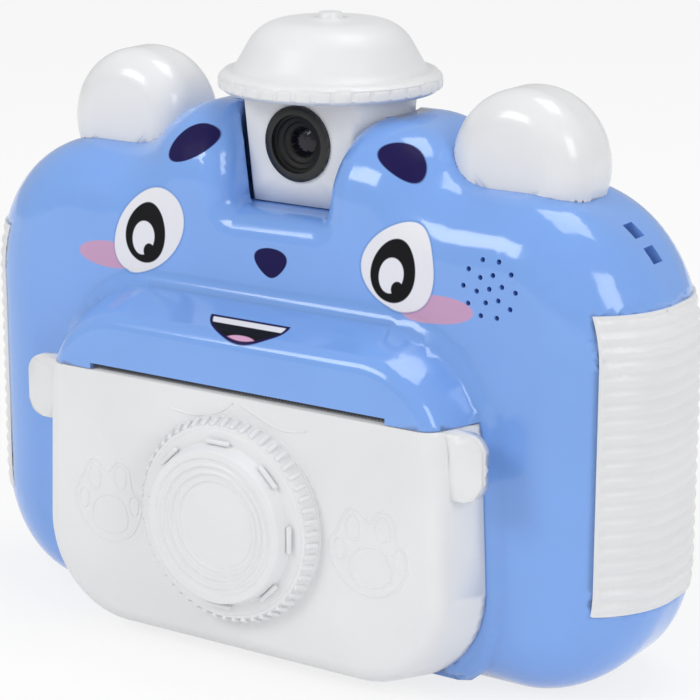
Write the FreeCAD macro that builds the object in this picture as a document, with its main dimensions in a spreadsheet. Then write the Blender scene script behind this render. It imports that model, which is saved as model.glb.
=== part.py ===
import FreeCAD, Part
import Sketcher
import math
import os
import re

# Toy instant-print camera: a rounded two-shell casing with a raised muzzle, a drop-down paper door,
# a thermal printer behind it, and a turret on top that turns the lens to either side.
# X runs to the right, Y from front to back, Z up. The origin is at the middle of the base, under the
# turret's axis, and every length is in millimetres.

V = FreeCAD.Vector
doc = FreeCAD.newDocument("InstantCamera")

# ------------------------------------------------------------------ driving dimensions
SIZES = [
    # casing
    ("BodyWidth", 133.4), ("BodyDepth", 35.8), ("ShoulderHeight", 82.0), ("HumpHeight", 90.7),
    ("BottomCorner", 21.5), ("ShoulderFlat", 6.06),
    ("TopCorner", "=BodyWidth / 2 - HumpHalfFlat - HumpReach - ShoulderFlat"), ("NeckRadius", 9.5),
    ("HumpRadius", 14.6),
    ("HumpHalfFlat", 17.1), ("SideFlat", 1.3), ("SideRound", "=BodyDepth / 2 - SideFlat"),
    ("BaseRound", 11.3), ("ShoulderRound", 12.0),
    ("HumpRound", 13.0), ("Wall", 2.2), ("SeamPlane", 9.0),
    # muzzle, shared by the visor above and the door below
    ("MuzzleReach", 28.8), ("MuzzleTopX", 24.0), ("MuzzleTopZ", 42.4), ("MuzzleTopRound", 18.2),
    ("MuzzleLowX", 26.4), ("MuzzleLowZ", 18.3), ("MuzzleLowRound", 16.9),
    ("MuzzleFrontTopZ", 41.8), ("MuzzleFrontTopRound", 14.6), ("MuzzleFrontLowX", 23.0),
    ("MuzzleFrontLowZ", 19.0), ("MuzzleFrontLowRound", 16.4), ("MuzzleEdgeRound", 3.4),
    ("RimWidth", 1.0), ("RimFlareWidth", 2.3), ("RimProud", 1.3), ("ChinLift", 2.4),
    ("BayLand", 2.5),
    ("DoorTop", 46.9), ("DoorGap", 0.2), ("DoorWall", 1.8), ("DoorSeat", 0.3),
    ("VisorFloor", 2.0), ("SlotHalf", 29.4), ("SlotHeight", 1.0),
    # door hinge
    ("HingeBack", 20.5), ("HingeHeight", 3.6), ("HingeLugX", 22.6), ("LugWidth", 3.0),
    ("LugRound", 2.0), ("HingePinRadius", 0.8), ("HingeFit", 0.05), ("SideClear", 0.3),
    ("HingeClear", 0.4), ("KnuckleWidth", 2.6),
    # finger tabs and catches on the door
    ("TabReach", 45.4), ("TabHeight", 11.0), ("TabFront", 26.0), ("TabThick", 2.2), ("TabRound", 3.2),
    ("CatchX", 38.6), ("CatchZ", 40.0), ("CatchWidth", 5.0), ("CatchThick", 1.2), ("CatchReach", 3.0),
    # tear edge
    ("BladeInset", 0.5), ("BladeThick", 1.0), ("BladeTip", 0.6), ("BladePitch", 0.64),
    # ring on the door
    ("RingHeight", 26.2), ("RingRadius", 17.5), ("RingProud", 5.95), ("KnurlDepth", 3.1),
    ("ShoulderRadius", 16.3), ("CollarRadius", 13.6), ("CollarRise", 3.4), ("RimRadius", 12.9),
    ("RingWall", 1.5), ("StepWidth", 1.5), ("StepDepth", 1.1), ("DiscRadius", 8.0),
    # turret
    ("CupTop", 94.5), ("CupBottom", 75.25), ("CupTopRadius", 14.6), ("CupBottomRadius", 12.9),
    ("CupWall", 1.6), ("Facet", 9.5), ("PocketClear", 0.9), ("PocketFloor", 75.0),
    ("NotchFoot", 9.2), ("NotchLean", 0.13), ("NotchBack", 5.0), ("NotchCorner", 1.5), ("NotchRound", 5.0),
    ("PivotRadius", 6.0), ("PivotWall", 1.4), ("PivotDrop", 4.6), ("PivotFit", 0.05),
    ("GrooveDepth", 0.8), ("ClipRadius", 8.4), ("ClipThick", 1.2), ("ClipGap", 0.2),
    ("BrimLow", 93.4), ("BrimRadius", 18.6), ("BrimBand", 3.2), ("BrimEdge", 0.8), ("DomeFoot", 96.1),
    ("DomeRadius", 16.6), ("DomeRise", 9.2), ("DomeShoulder", 11.7), ("DomeCrown", 0.6), ("DomeRound", 7.4),
    ("KnobRadius", 2.5), ("KnobRise", 0.8), ("LidWall", 1.5),
    ("LensHeight", 85.5), ("BezelRadius", 6.35), ("BezelProud", 0.7), ("BezelStem", 5.7),
    ("BarrelRadius", 4.9), ("BarrelWall", 0.5), ("BarrelDepth", 6.4), ("BarrelStep", 0.6),
    ("LensRadius", 2.3), ("LensThick", 1.4),
    ("ModuleSide", 8.5), ("ModuleDepth", 3.2),
    # ears
    ("EarCentre", 38.6), ("EarHeight", 84.8), ("EarRadius", 12.5), ("EarThick", 16.0), ("EarRound", 6.0),
    ("EarWall", 2.0),
    # grips
    ("GripLow", 17.1), ("GripHigh", 65.7), ("GripFront", 15.0), ("GripDepth", 0.9), ("GripProud", 0.35),
    # speaker and its grille
    ("SpeakerInset", 25.2), ("SpeakerX", "=BodyWidth / 2 - SpeakerInset"), ("SpeakerZ", 68.3),
    ("SpeakerRadius", 8.0), ("SpeakerDepth", 3.6),
    ("SpeakerStandoff", 2.6), ("SpeakerFit", 0.1), ("SpeakerRib", 1.0), ("MagnetRadius", 5.0),
    ("MagnetDepth", 2.4), ("GasketWidth", 1.2), ("GrilleHole", 0.42), ("GrillePitch", 2.33),
    # lanyard bar
    ("LanyardHole", 3.0), ("LanyardBar", 1.9), ("LanyardAngle", 45.5), ("LanyardBack", 0.8),
    ("LanyardDeep", 3.4),
    # paper bay
    ("RollRadius", 15.0), ("RollLength", 57.0), ("CoreRadius", 6.0), ("CoreWall", 1.2), ("RollBack", 8.8),
    ("RollHeight", 21.0), ("CradleGap", 0.4), ("CradleWall", 1.3), ("CradleSide", 1.6), ("CradleLeg", 3.0),
    ("CradleFoot", 6.0),
    # printer
    ("PlatenRadius", 3.4), ("PlatenLength", 56.0), ("PlatenShaft", 1.5), ("PlatenBack", 22.4),
    ("PlatenHeight", 41.0), ("ArmGap", 0.4), ("ArmThick", 2.2), ("ArmRound", 2.6), ("ShaftFit", 0.05),
    ("NipGap", 0.15), ("HeadThick", 1.0), ("HeadHeight", 9.0), ("SinkThick", 2.4), ("SinkExtra", 1.5),
    ("SpringGap", 2.05), ("SpringThick", 0.25), ("SpringHalf", 6.0), ("SpringWidth", 4.0),
    ("SpringSlack", 0.05),
    ("SpringStep", 18.0),
    ("CheekX", 31.0), ("CheekThick", 1.2), ("CheekTop", 56.0), ("FlangeReach", 44.0), ("FlangeHeight", 5.5),
    ("FlangeScrewX", 41.0), ("StubRadius", 1.0), ("GearClear", 0.4), ("GearFace", 2.4), ("GearGap", 0.25),
    ("PlatenGear", 3.8), ("PinionGear", 2.2), ("ToothDepth", 0.7), ("MotorRadius", 6.6),
    ("MotorLength", 8.6),
    ("MotorBack", 5.2), ("MotorHeight", 45.6), ("MotorShaft", 0.75),
    # electronics
    ("BoardFront", 9.4), ("BoardThick", 1.2), ("BoardInset", 18.7),
    ("BoardHalf", "=BodyWidth / 2 - BoardInset"), ("BoardLow", 9.0), ("BoardHigh", 72.3),
    ("ScreenX", 14.5), ("ScreenZ", 43.0), ("ScreenWidth", 59.0), ("ScreenHeight", 43.0), ("ScreenGap", 0.3),
    ("WindowBorder", 1.6), ("WindowThick", 1.2), ("WindowGap", 0.1), ("WindowCorner", 3.0),
    ("BatteryWidth", 24.0), ("BatteryHeight", 40.0), ("BatteryThick", 7.2), ("BatteryInset", 10.2),
    ("BatteryX", "=BodyWidth / 2 - BatteryInset"),
    ("BatteryLow", 22.0), ("BatteryGap", 0.2), ("BatteryRound", 1.5),
    # keys
    ("PadInset", 30.7), ("PadX", "=BodyWidth / 2 - PadInset"), ("PadZ", 44.0), ("PadPitch", 10.8),
    ("KeyRadius", 3.6), ("ShutterRadius", 5.2),
    ("KeyProud", 1.0), ("KeyTravel", 0.8), ("KeyClear", 0.25), ("KeyFlange", 0.9), ("KeyFlangeThick", 1.3),
    ("KeyEdge", 0.4), ("KeyStem", 1.8), ("KeyRest", 0.3), ("KeyLift", 0.1), ("TopKeyRise", 22.0),
    ("TopKeyStep", 8.0), ("LowKeyDrop", 22.0), ("MatThick", 0.6), ("MatHalf", 14.0), ("MatMargin", 4.0),
    ("DomeHeight", 0.6), ("DomeKeyRadius", 2.2),
    # ports and their cover
    ("PortX", 17.0), ("PortZ", 15.6), ("PortWidth", 27.0), ("PortHeight", 6.4), ("PortThick", 1.2),
    ("PortGap", 0.15), ("SocketX", 9.6), ("SocketWidth", 9.0), ("SocketHeight", 3.2), ("SocketWall", 0.35),
    ("SocketFit", 0.1), ("CardX", 22.6), ("CardWidth", 12.0), ("CardHeight", 2.0), ("SocketDeep", 4.0),
    # screws, and the posts and bosses that take them
    ("PostRadius", 3.0), ("ScrewRadius", 1.2), ("ScrewFit", 0.05), ("ScrewHead", 2.3),
    ("ScrewHeadThick", 1.2),
    ("ScrewLength", 9.0), ("ScrewSeat", 3.5), ("ScrewCross", 0.5), ("PostInset", 10.2),
    ("PostX", "=BodyWidth / 2 - PostInset"), ("PostTop", 67.5),
    ("PostLow", 15.0), ("BossRadius", 2.6), ("BossInset", 22.7), ("BossX", "=BodyWidth / 2 - BossInset"),
    ("BossTopX", 19.0), ("BossLow", 14.0),
    ("BossHigh", 69.5), ("SmallScrew", 0.9), ("SmallHead", 1.9), ("SmallHeadThick", 0.9),
    ("SmallLength", 4.0),
    # how far cutters run past a face and fused blocks sink in, and other small allowances
    ("Overrun", 1.0), ("Bite", 0.2), ("Sliver", 0.1), ("EdgeEase", 0.2), ("PocketThin", 0.4),
    ("HeadClear", 0.2), ("BladeClear", 0.4), ("RingRim", 1.0), ("HeadInset", 0.5),
    # how far the hump's shoulder reaches sideways, from the two arcs that make it
    ("HumpDrop", "=ShoulderHeight + NeckRadius - HumpHeight + HumpRadius"),
    ("HumpReach", "=sqrt((NeckRadius + HumpRadius) ^ 2 - HumpDrop ^ 2)"),
]

sheet = doc.addObject("Spreadsheet::Sheet", "Sizes")
for row, (name, value) in enumerate(SIZES, 1):
    sheet.set(f"A{row}", name)
    sheet.set(f"B{row}", str(value))
    sheet.setAlias(f"B{row}", name)
doc.recompute()
mm = {name: float(getattr(sheet, name)) for name, value in SIZES}


def with_sheet(text):
    """An expression in which each size's name is read from the sheet."""
    return re.sub(r"[A-Z][A-Za-z]+", lambda m: "Sizes." + m.group(0) if m.group(0) in mm else m.group(0),
        text)


def bind(thing, **expressions):
    """Binds properties to expressions; an underscore in the property's name stands for a dot."""
    for name, text in expressions.items():
        thing.setExpression(name.replace("_", "."), with_sheet(str(text)))
    return thing


TURN = {
    "x": FreeCAD.Rotation(V(0, 1, 0), 90),
    "y": FreeCAD.Rotation(V(1, 0, 0), -90),
    "front": FreeCAD.Rotation(V(1, 0, 0), 90),
    "z": FreeCAD.Rotation(),
}


def box(label, x, y, z):
    """A block between two expressions on each axis."""
    thing = doc.addObject("Part::Box", label)
    bind(thing, Length=f"({x[1]}) - ({x[0]})", Width=f"({y[1]}) - ({y[0]})", Height=f"({z[1]}) - ({z[0]})")
    return bind(thing, Placement_Base_x=x[0], Placement_Base_y=y[0], Placement_Base_z=z[0])


def rod(label, axis, radius, length, x="0", y="0", z="0"):
    """A cylinder that starts at a point and runs along an axis."""
    thing = doc.addObject("Part::Cylinder", label)
    thing.Placement = FreeCAD.Placement(V(), TURN[axis])
    bind(thing, Radius=radius, Height=length)
    return bind(thing, Placement_Base_x=x, Placement_Base_y=y, Placement_Base_z=z)


def cone(label, axis, first, second, length, x="0", y="0", z="0"):
    """A cone that starts at a point with the first radius and runs along an axis to the second."""
    thing = doc.addObject("Part::Cone", label)
    thing.Placement = FreeCAD.Placement(V(), TURN[axis])
    bind(thing, Radius1=first, Radius2=second, Height=length)
    return bind(thing, Placement_Base_x=x, Placement_Base_y=y, Placement_Base_z=z)


def fuse(label, *things):
    if len(things) == 1:
        return things[0]
    joined = doc.addObject("Part::MultiFuse", label)
    joined.Shapes = list(things)
    return joined


def common(label, *things):
    shared = doc.addObject("Part::MultiCommon", label)
    shared.Shapes = list(things)
    return shared


def cut(label, base, *tools):
    rest = doc.addObject("Part::Cut", label)
    rest.Base = base
    rest.Tool = fuse(label + "_tools", *tools)
    return rest


def solid(label, shape):
    """A shape worked out by Part's own functions, kept as an object of the document."""
    thing = doc.addObject("Part::Feature", label)
    thing.Shape = shape
    return thing


def mirror_of(label, thing):
    mirrored = doc.addObject("Part::Mirroring", label)
    mirrored.Source = thing
    mirrored.Normal = V(1, 0, 0)
    return mirrored


def two(label, shape):
    """One object holding a thing and its mirror image across the middle of the camera."""
    return fuse(label, shape, mirror_of(label + "_mirror", shape))


def outline(body, label, plane, points):
    """A closed sketch on one of a body's own planes, with each corner held by two expressions."""
    sketch = body.newObject("Sketcher::SketchObject", label)
    support = next(f for f in body.Origin.OriginFeatures if f.Role == plane)
    sketch.AttachmentSupport = [(support, "")]
    sketch.MapMode = "FlatFace"
    count = len(points)
    start = [V(10 + math.cos(6.28 * k / count), 10 + math.sin(6.28 * k / count), 0) for k in range(count)]
    for k in range(count):
        sketch.addGeometry(Part.LineSegment(start[k], start[(k + 1) % count]), False)
    for k in range(count):
        sketch.addConstraint(Sketcher.Constraint("Coincident", k, 2, (k + 1) % count, 1))
    for k, (across, up) in enumerate(points):
        for kind, text, line_on_zero in (("DistanceX", across, -2), ("DistanceY", up, -1)):
            if text == "0":
                sketch.addConstraint(Sketcher.Constraint("PointOnObject", k, 1, line_on_zero))
            else:
                place = sketch.addConstraint(Sketcher.Constraint(kind, -1, 1, k, 1, 10.0))
                sketch.setExpression(f"Constraints[{place}]", with_sheet(text))
    return sketch


def turned(label, points, axis="z", x="0", y="0", z="0"):
    """A PartDesign body turned about its own axis from a profile of (radius, height) expressions."""
    body = doc.addObject("PartDesign::Body", label)
    sketch = outline(body, label + "_profile", "XZ_Plane", points)
    turn = body.newObject("PartDesign::Revolution", label + "_turned")
    turn.Profile = sketch
    turn.ReferenceAxis = (sketch, ["V_Axis"])
    turn.Angle = 360
    body.Tip = turn
    body.Placement = FreeCAD.Placement(V(), TURN[axis])
    return bind(body, Placement_Base_x=x, Placement_Base_y=y, Placement_Base_z=z)


def gear(label, tip, teeth, bore, axis, x, y, z):
    """A PartDesign spur gear: a toothed rim made as a polar pattern round a turned blank."""
    root = f"({tip} - ToothDepth)"
    body = turned(label, [(bore, "0"), (root, "0"), (root, "GearFace"), (bore, "GearFace")], axis, x, y, z)
    half = f"(pi * {tip} / {teeth} * 0.5)"
    sketch = outline(body, label + "_tooth", "XY_Plane", [
        (f"{root} - Bite", f"-{half}"), (tip + " * 0.995", f"-{half} * 0.55"),
        (tip + " * 0.995", f"{half} * 0.55"), (f"{root} - Bite", half)])
    tooth = body.newObject("PartDesign::Pad", label + "_pad")
    tooth.Profile = sketch
    tooth.setExpression("Length", with_sheet("GearFace"))
    ring = body.newObject("PartDesign::PolarPattern", label + "_teeth")
    ring.Originals = [tooth]
    ring.Axis = (sketch, ["N_Axis"])
    ring.Angle = 360
    ring.Occurrences = teeth
    body.Tip = ring
    return body


NODES = []


def node(name, thing):
    """Names a finished sub-part: its label is its file's name."""
    thing.Label = name
    NODES.append(thing)
    return thing


def arc(cx, cz, radius, first, last, y):
    def at(angle):
        turn = math.radians(angle)
        return V(cx + radius * math.cos(turn), y, cz + radius * math.sin(turn))
    return Part.Arc(at(first), at((first + last) / 2), at(last)).toShape()


def line(x0, z0, x1, z1, y):
    return Part.LineSegment(V(x0, y, z0), V(x1, y, z1)).toShape()


# ------------------------------------------------------------------ casing blank
def casing_outline(inset, y):
    """The casing seen from the front: rounded corners, shoulders, and the hump that holds the turret."""
    half = mm["BodyWidth"] / 2
    low, high = mm["BottomCorner"], mm["TopCorner"]
    neck, hump, flat = mm["NeckRadius"], mm["HumpRadius"], mm["HumpHalfFlat"]
    shoulder, top = mm["ShoulderHeight"], mm["HumpHeight"]
    neck_x = flat + mm["HumpReach"]
    meet = math.degrees(math.atan2(mm["HumpDrop"], mm["HumpReach"]))
    right = [
        arc(half - low, low, low - inset, -90, 0, y),
        line(half - inset, low, half - inset, shoulder - high, y),
        arc(half - high, shoulder - high, high - inset, 0, 90, y),
        line(half - high, shoulder - inset, neck_x, shoulder - inset, y),
        arc(neck_x, shoulder + neck, neck + inset, 270, 180 + meet, y),
        arc(flat, top - hump, hump - inset, meet, 90, y),
    ]
    left = [edge.mirror(V(), V(1, 0, 0)) for edge in right]
    base = line(-(half - low), inset, half - low, inset, y)
    cap = line(flat, top - inset, -flat, top - inset, y)
    return Part.Wire(Part.__sortEdges__([base] + right + [cap] + left))


def casing_blank(label, inset):
    """The casing's solid form, moved inwards by the inset, with its long edges rounded."""
    half_depth = mm["BodyDepth"] / 2 - inset
    flat = solid(label + "_flat", Part.Face(casing_outline(inset, -half_depth)).extrude(V(0,
        2 * half_depth, 0)))

    def rounding(point):
        if abs(abs(point.x) - (mm["BodyWidth"] / 2 - inset)) < 0.001:
            return mm["SideRound"] - inset
        if point.z < inset + 0.001:
            return mm["BaseRound"] - inset
        if point.z > mm["ShoulderHeight"] - inset + 0.5:
            return mm["HumpRound"] - inset
        return mm["ShoulderRound"] - inset

    rounded = doc.addObject("Part::Fillet", label)
    rounded.Base = flat
    rounded.Edges = [
        (k, rounding(e.valueAt(e.FirstParameter)), rounding(e.valueAt(e.LastParameter)))
        for k, e in enumerate(flat.Shape.Edges, 1) if e.BoundBox.YLength < 1
    ]
    return rounded


# ------------------------------------------------------------------ muzzle form
def muzzle_outline(top_x, top_z, top_round, low_x, low_z, low_round, y):
    """Two corner circles a side, joined by their outer tangent: upright, but leaning in towards the top."""
    dx, dz = top_x - low_x, top_z - low_z
    lean = math.degrees(math.atan2(dz,
        dx)) - math.degrees(math.acos((low_round - top_round) / math.hypot(dx, dz)))
    turn = math.radians(lean)
    low_at = (low_x + low_round * math.cos(turn), low_z + low_round * math.sin(turn))
    top_at = (top_x + top_round * math.cos(turn), top_z + top_round * math.sin(turn))
    right = [
        arc(low_x, low_z, low_round, -90, lean, y),
        line(low_at[0], low_at[1], top_at[0], top_at[1], y),
        arc(top_x, top_z, top_round, lean, 90, y),
    ]
    left = [edge.mirror(V(), V(1, 0, 0)) for edge in right]
    base = line(-low_x, low_z - low_round, low_x, low_z - low_round, y)
    cap = line(top_x, top_z + top_round, -top_x, top_z + top_round, y)
    return Part.Wire(Part.__sortEdges__([base] + right + [cap] + left))


def muzzle_back(grow, y):
    """The muzzle's outline where it leaves the casing's face, made wider all round by grow."""
    return muzzle_outline(
        mm["MuzzleTopX"], mm["MuzzleTopZ"], mm["MuzzleTopRound"] + grow,
        mm["MuzzleLowX"], mm["MuzzleLowZ"], mm["MuzzleLowRound"] + grow, y)


def muzzle_front(grow, y):
    """The muzzle's outline at its front plane."""
    return muzzle_outline(
        mm["MuzzleTopX"], mm["MuzzleFrontTopZ"], mm["MuzzleFrontTopRound"] + grow,
        mm["MuzzleFrontLowX"], mm["MuzzleFrontLowZ"], mm["MuzzleFrontLowRound"] + grow, y)


def prism(wire, depth):
    return Part.Face(wire).extrude(V(0, depth, 0))


face = -mm["BodyDepth"] / 2
front = -mm["MuzzleReach"]
rim_front = face - mm["RimProud"]
inside = face + mm["Wall"]
flare_foot = rim_front + mm["RimFlareWidth"]


def muzzle_solid(label, wall, edge_round):
    """The tapered muzzle, or the hollow inside it when a wall is given."""
    taper = Part.makeLoft([muzzle_back(-wall, face), muzzle_front(-wall, front + wall)], True, True)
    rims = [e for e in taper.Edges if abs(e.BoundBox.YMin - (
        front + wall)) < 0.01 and e.BoundBox.YLength < 0.01]
    taper = taper.makeFillet(edge_round, rims)
    root = prism(muzzle_back(-wall, face), mm["Wall"] + mm["Overrun"])
    return solid(label, taper.fuse(root).removeSplitter())


muzzle = muzzle_solid("muzzle_form", 0, mm["MuzzleEdgeRound"])
muzzle_hollow = muzzle_solid("muzzle_hollow", mm["DoorWall"],
    mm["MuzzleEdgeRound"] - mm["DoorWall"] + mm["EdgeEase"])
rim_width, flare_width = mm["RimWidth"], mm["RimWidth"] + mm["RimFlareWidth"]
rim_form = solid("muzzle_rim_form", Part.makeLoft(
    [muzzle_back(flare_width, flare_foot), muzzle_back(rim_width, rim_front)], True, True).fuse(
    prism(muzzle_back(flare_width, flare_foot),
    abs(flare_foot) - mm["BaseRound"] + 2 * mm["Overrun"])).removeSplitter())
above_chin = box("above_chin", ("-BodyWidth", "BodyWidth"), ("-BodyDepth * 2", "BodyDepth * 2"),
                 ("ChinLift", "HumpHeight * 2"))
rim_block = common("muzzle_rim", rim_form, above_chin)
bay_opening = solid("bay_opening", prism(muzzle_back(-mm["BayLand"], front),
    abs(front) - mm["BaseRound"] + 4 * mm["Overrun"]))

# ------------------------------------------------------------------ casing: outside and inside
outer_blank = casing_blank("casing_outer", 0)
inner = casing_blank("casing_inner", mm["Wall"])


def notch_form(label, grow, y_front, y_back):
    """The wedge in the hump's face through which the lens looks out."""
    foot, floor = mm["NotchFoot"] + grow, mm["PocketFloor"] - grow
    rise = mm["HumpHeight"] + 3 * mm["Overrun"] - floor
    spread = foot + mm["NotchLean"] * rise
    corners = [V(-foot, y_front, floor), V(foot, y_front, floor),
               V(spread, y_front, floor + rise), V(-spread, y_front, floor + rise)]
    wedge = Part.Face(Part.makePolygon(corners + corners[:1])).extrude(V(0, y_back - y_front, 0))
    low = [e for e in wedge.Edges if e.BoundBox.ZMax < floor + 0.01 and e.BoundBox.YLength > 1]
    return solid(label, wedge.makeFillet(mm["NotchCorner"], low))


notch = notch_form("notch", 0, front, -mm["NotchBack"])
outer_notched = cut("outer_notched", outer_blank, notch)
doc.recompute()
blank_skin, notch_skin = outer_blank.Shape.Shells[0], notch.Shape.Shells[0]


def on_notch_rim(edge):
    """True for the notch's edges on the hump's skin, apart from those at the notch's back."""
    middle = edge.valueAt((edge.FirstParameter + edge.LastParameter) / 2)
    spot = Part.Vertex(middle)
    on_both = max(blank_skin.distToShape(spot)[0], notch_skin.distToShape(spot)[0]) < 0.0001
    return on_both and middle.y < -mm["NotchBack"] - 0.1


outer = doc.addObject("Part::Fillet", "casing_skin")
outer.Base = outer_notched
outer.Edges = [
    (k, mm["NotchRound"], mm["NotchRound"])
    for k, e in enumerate(outer_notched.Shape.Edges, 1) if on_notch_rim(e)
]

visor_zone = box("visor_zone", ("-BodyWidth", "BodyWidth"), ("-MuzzleReach * 2", "0"),
                 ("DoorTop + DoorGap", "HumpHeight"))
visor_outer = common("visor_outer", muzzle, visor_zone)
outside = fuse("casing_outside", outer, rim_block, visor_outer)

visor_room = box("visor_room", ("-BodyWidth", "BodyWidth"), ("-MuzzleReach * 2", "0"),
                 ("DoorTop + DoorGap + VisorFloor", "HumpHeight"))
visor_inner = common("visor_inner", muzzle_hollow, visor_room)
bay_low = box("bay_low", ("-BodyWidth", "BodyWidth"), ("-BodyDepth / 2 - RimProud - Overrun", "0"),
    ("0", "DoorTop + DoorGap"))
bay_high = box("bay_high", ("-BodyWidth", "BodyWidth"), ("-BodyDepth / 2 - RimProud + Sliver", "0"),
               ("DoorTop + DoorGap - Overrun", "HumpHeight"))
bay = common("bay", bay_opening, fuse("bay_zone", bay_low, bay_high))
inside_space = fuse("casing_inside", inner, visor_inner, bay)

# the door's lower edge turns inside this groove
groove_half = "MuzzleLowX + sqrt(MuzzleLowRound ^ 2 - (MuzzleLowZ - HingeHeight) ^ 2) + SideClear"
hinge_relief = fuse(
    "hinge_relief",
    box("hinge_step", ("-BodyWidth / 2", "BodyWidth / 2"), ("-MuzzleReach", "-BodyDepth / 2 - Sliver"),
    ("-1", "HingeHeight")),
    rod("hinge_groove", "x", "LugRound + HingeClear * 1.5", f"2 * ({groove_half})",
        f"-({groove_half})", "-HingeBack", "HingeHeight"))
hull = cut("casing_hull", outside, inside_space, hinge_relief)

# ------------------------------------------------------------------ turret pocket in the hump
pocket_height = "HumpHeight - PocketFloor + Overrun"
slope = "(CupTopRadius - CupBottomRadius) / (CupTop - CupBottom)"
pocket_low = f"CupBottomRadius + PocketClear - {slope} * (CupBottom - PocketFloor)"
pocket_high = f"{pocket_low} + {slope} * ({pocket_height})"
pocket_bowl = cone("pocket_bowl", "z", f"{pocket_low} + Wall - PocketThin",
    f"{pocket_high} + Wall - PocketThin",
                   f"{pocket_height} + Wall", z="PocketFloor - Wall")
pocket_cheeks = notch_form("pocket_cheeks", mm["Wall"], face, -mm["NotchBack"])
pocket_liner = common("pocket_liner", fuse("pocket_block", pocket_bowl, pocket_cheeks), outer)
pocket_space = cone("pocket_space", "z", pocket_low, pocket_high, pocket_height, z="PocketFloor")
pivot_hole = rod("pivot_hole", "z", "PivotRadius + PivotFit", "Wall * 3", z="PocketFloor - Wall * 2")

# ------------------------------------------------------------------ grips and their recesses
grip_outer = casing_blank("grip_outer", -mm["GripProud"])
grip_inner = casing_blank("grip_inner", mm["GripDepth"])
grip_zone = box("grip_zone", ("0", "BodyWidth"), ("-GripFront", "GripFront"), ("GripLow", "GripHigh"))
grip_band = cut("grip_band", common("grip_slab", grip_outer, grip_zone), grip_inner)
recess_both = two("grip_recess", grip_band)

# ------------------------------------------------------------------ posts, holes and bars of the shells
POST_PLACES = [(x, z) for x in ("PostX", "-PostX") for z in ("PostTop", "PostLow")]
BOSS_PLACES = [("BossTopX", "BossHigh"), ("-BossTopX", "BossHigh"), ("BossX", "BossLow"),
    ("-BossX", "BossLow")]


def rods(label, places, radius, y_first, y_last):
    """The same round bar at several places, running from one depth to another."""
    return [rod(f"{label}{k}", "y", radius, f"({y_last}) - ({y_first})", x, y_first, z)
            for k, (x, z) in enumerate(places)]


post_limit = casing_blank("post_limit", mm["Wall"] / 2)
posts_in = common("posts_in", fuse("posts", *rods("post", POST_PLACES, "PostRadius", "-BodyDepth / 2",
    "BodyDepth / 2")),
                  post_limit)
pilots = rods("pilot", POST_PLACES, "ScrewRadius + ScrewFit",
    "SeamPlane + ScrewSeat - ScrewLength - Overrun",
              "SeamPlane + ScrewSeat + Overrun")
head_wells = rods("head_well", POST_PLACES, "ScrewHead + HeadClear", "SeamPlane + ScrewSeat", "BodyDepth")

grille = [rod("grille0", "y", "GrilleHole", "BodyDepth / 4", "SpeakerX", "-BodyDepth / 2 - Overrun",
    "SpeakerZ")]
for ring, (count, start) in enumerate([(6, 15), (10, 0)], 1):
    for k in range(count):
        turn = start + 360 * k / count
        grille.append(rod(
            f"grille{ring}_{k}", "y", "GrilleHole", "BodyDepth / 4",
            f"SpeakerX + GrillePitch * {ring} * cos({turn} deg)", "-BodyDepth / 2 - Overrun",
            f"SpeakerZ + GrillePitch * {ring} * sin({turn} deg)"))

speaker_front = "(-BodyDepth / 2 + Wall + SpeakerStandoff)"
speaker_ring = common("speaker_ring", post_limit, cut(
    "speaker_rib",
    rod("speaker_rib_outer", "y", "SpeakerRadius + SpeakerFit + SpeakerRib",
    "Wall / 2 + SpeakerStandoff + SpeakerDepth / 2",
        "SpeakerX", "-BodyDepth / 2 + Wall / 2", "SpeakerZ"),
    rod("speaker_rib_bore", "y", "SpeakerRadius + SpeakerFit", "BodyDepth", "SpeakerX", "-BodyDepth / 2",
    "SpeakerZ")))


def lanyard_slot(label, side):
    """A square slot that goes down into the casing's upper corner, beside the bar."""
    thing = doc.addObject("Part::Box", label)
    reach = "TopCorner - LanyardDeep"
    middle = f"({side}) * (LanyardHole + LanyardBar) / 2 - LanyardHole / 2"
    thing.Placement = FreeCAD.Placement(V(), FreeCAD.Rotation(V(0, 1, 0), -mm["LanyardAngle"]))
    bind(thing, Length="LanyardDeep * 2", Width="LanyardHole", Height="LanyardHole")
    return bind(
        thing,
        Placement_Base_x=f"BodyWidth / 2 - TopCorner + ({reach}) * cos(LanyardAngle * 1 deg)"
                         f" - ({middle}) * sin(LanyardAngle * 1 deg)",
        Placement_Base_y="-LanyardBack - LanyardHole / 2",
        Placement_Base_z=f"ShoulderHeight - TopCorner + ({reach}) * sin(LanyardAngle * 1 deg)"
                         f" + ({middle}) * cos(LanyardAngle * 1 deg)")


lanyard = [lanyard_slot("lanyard_upper", "1"), lanyard_slot("lanyard_lower", "-1")]

# tear edge's seat and the paper slot under the visor
slot = box("paper_slot", ("-SlotHalf", "SlotHalf"), ("-MuzzleReach - Overrun", "-BodyDepth / 2"),
           ("DoorTop", "DoorTop + DoorGap + SlotHeight"))
blade_front = "-MuzzleReach + BladeInset"
blade_seat = box("blade_seat", ("-SlotHalf", "SlotHalf"), (blade_front, f"{blade_front} + BladeThick"),
                 ("DoorTop", "DoorTop + DoorGap + VisorFloor"))

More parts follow.
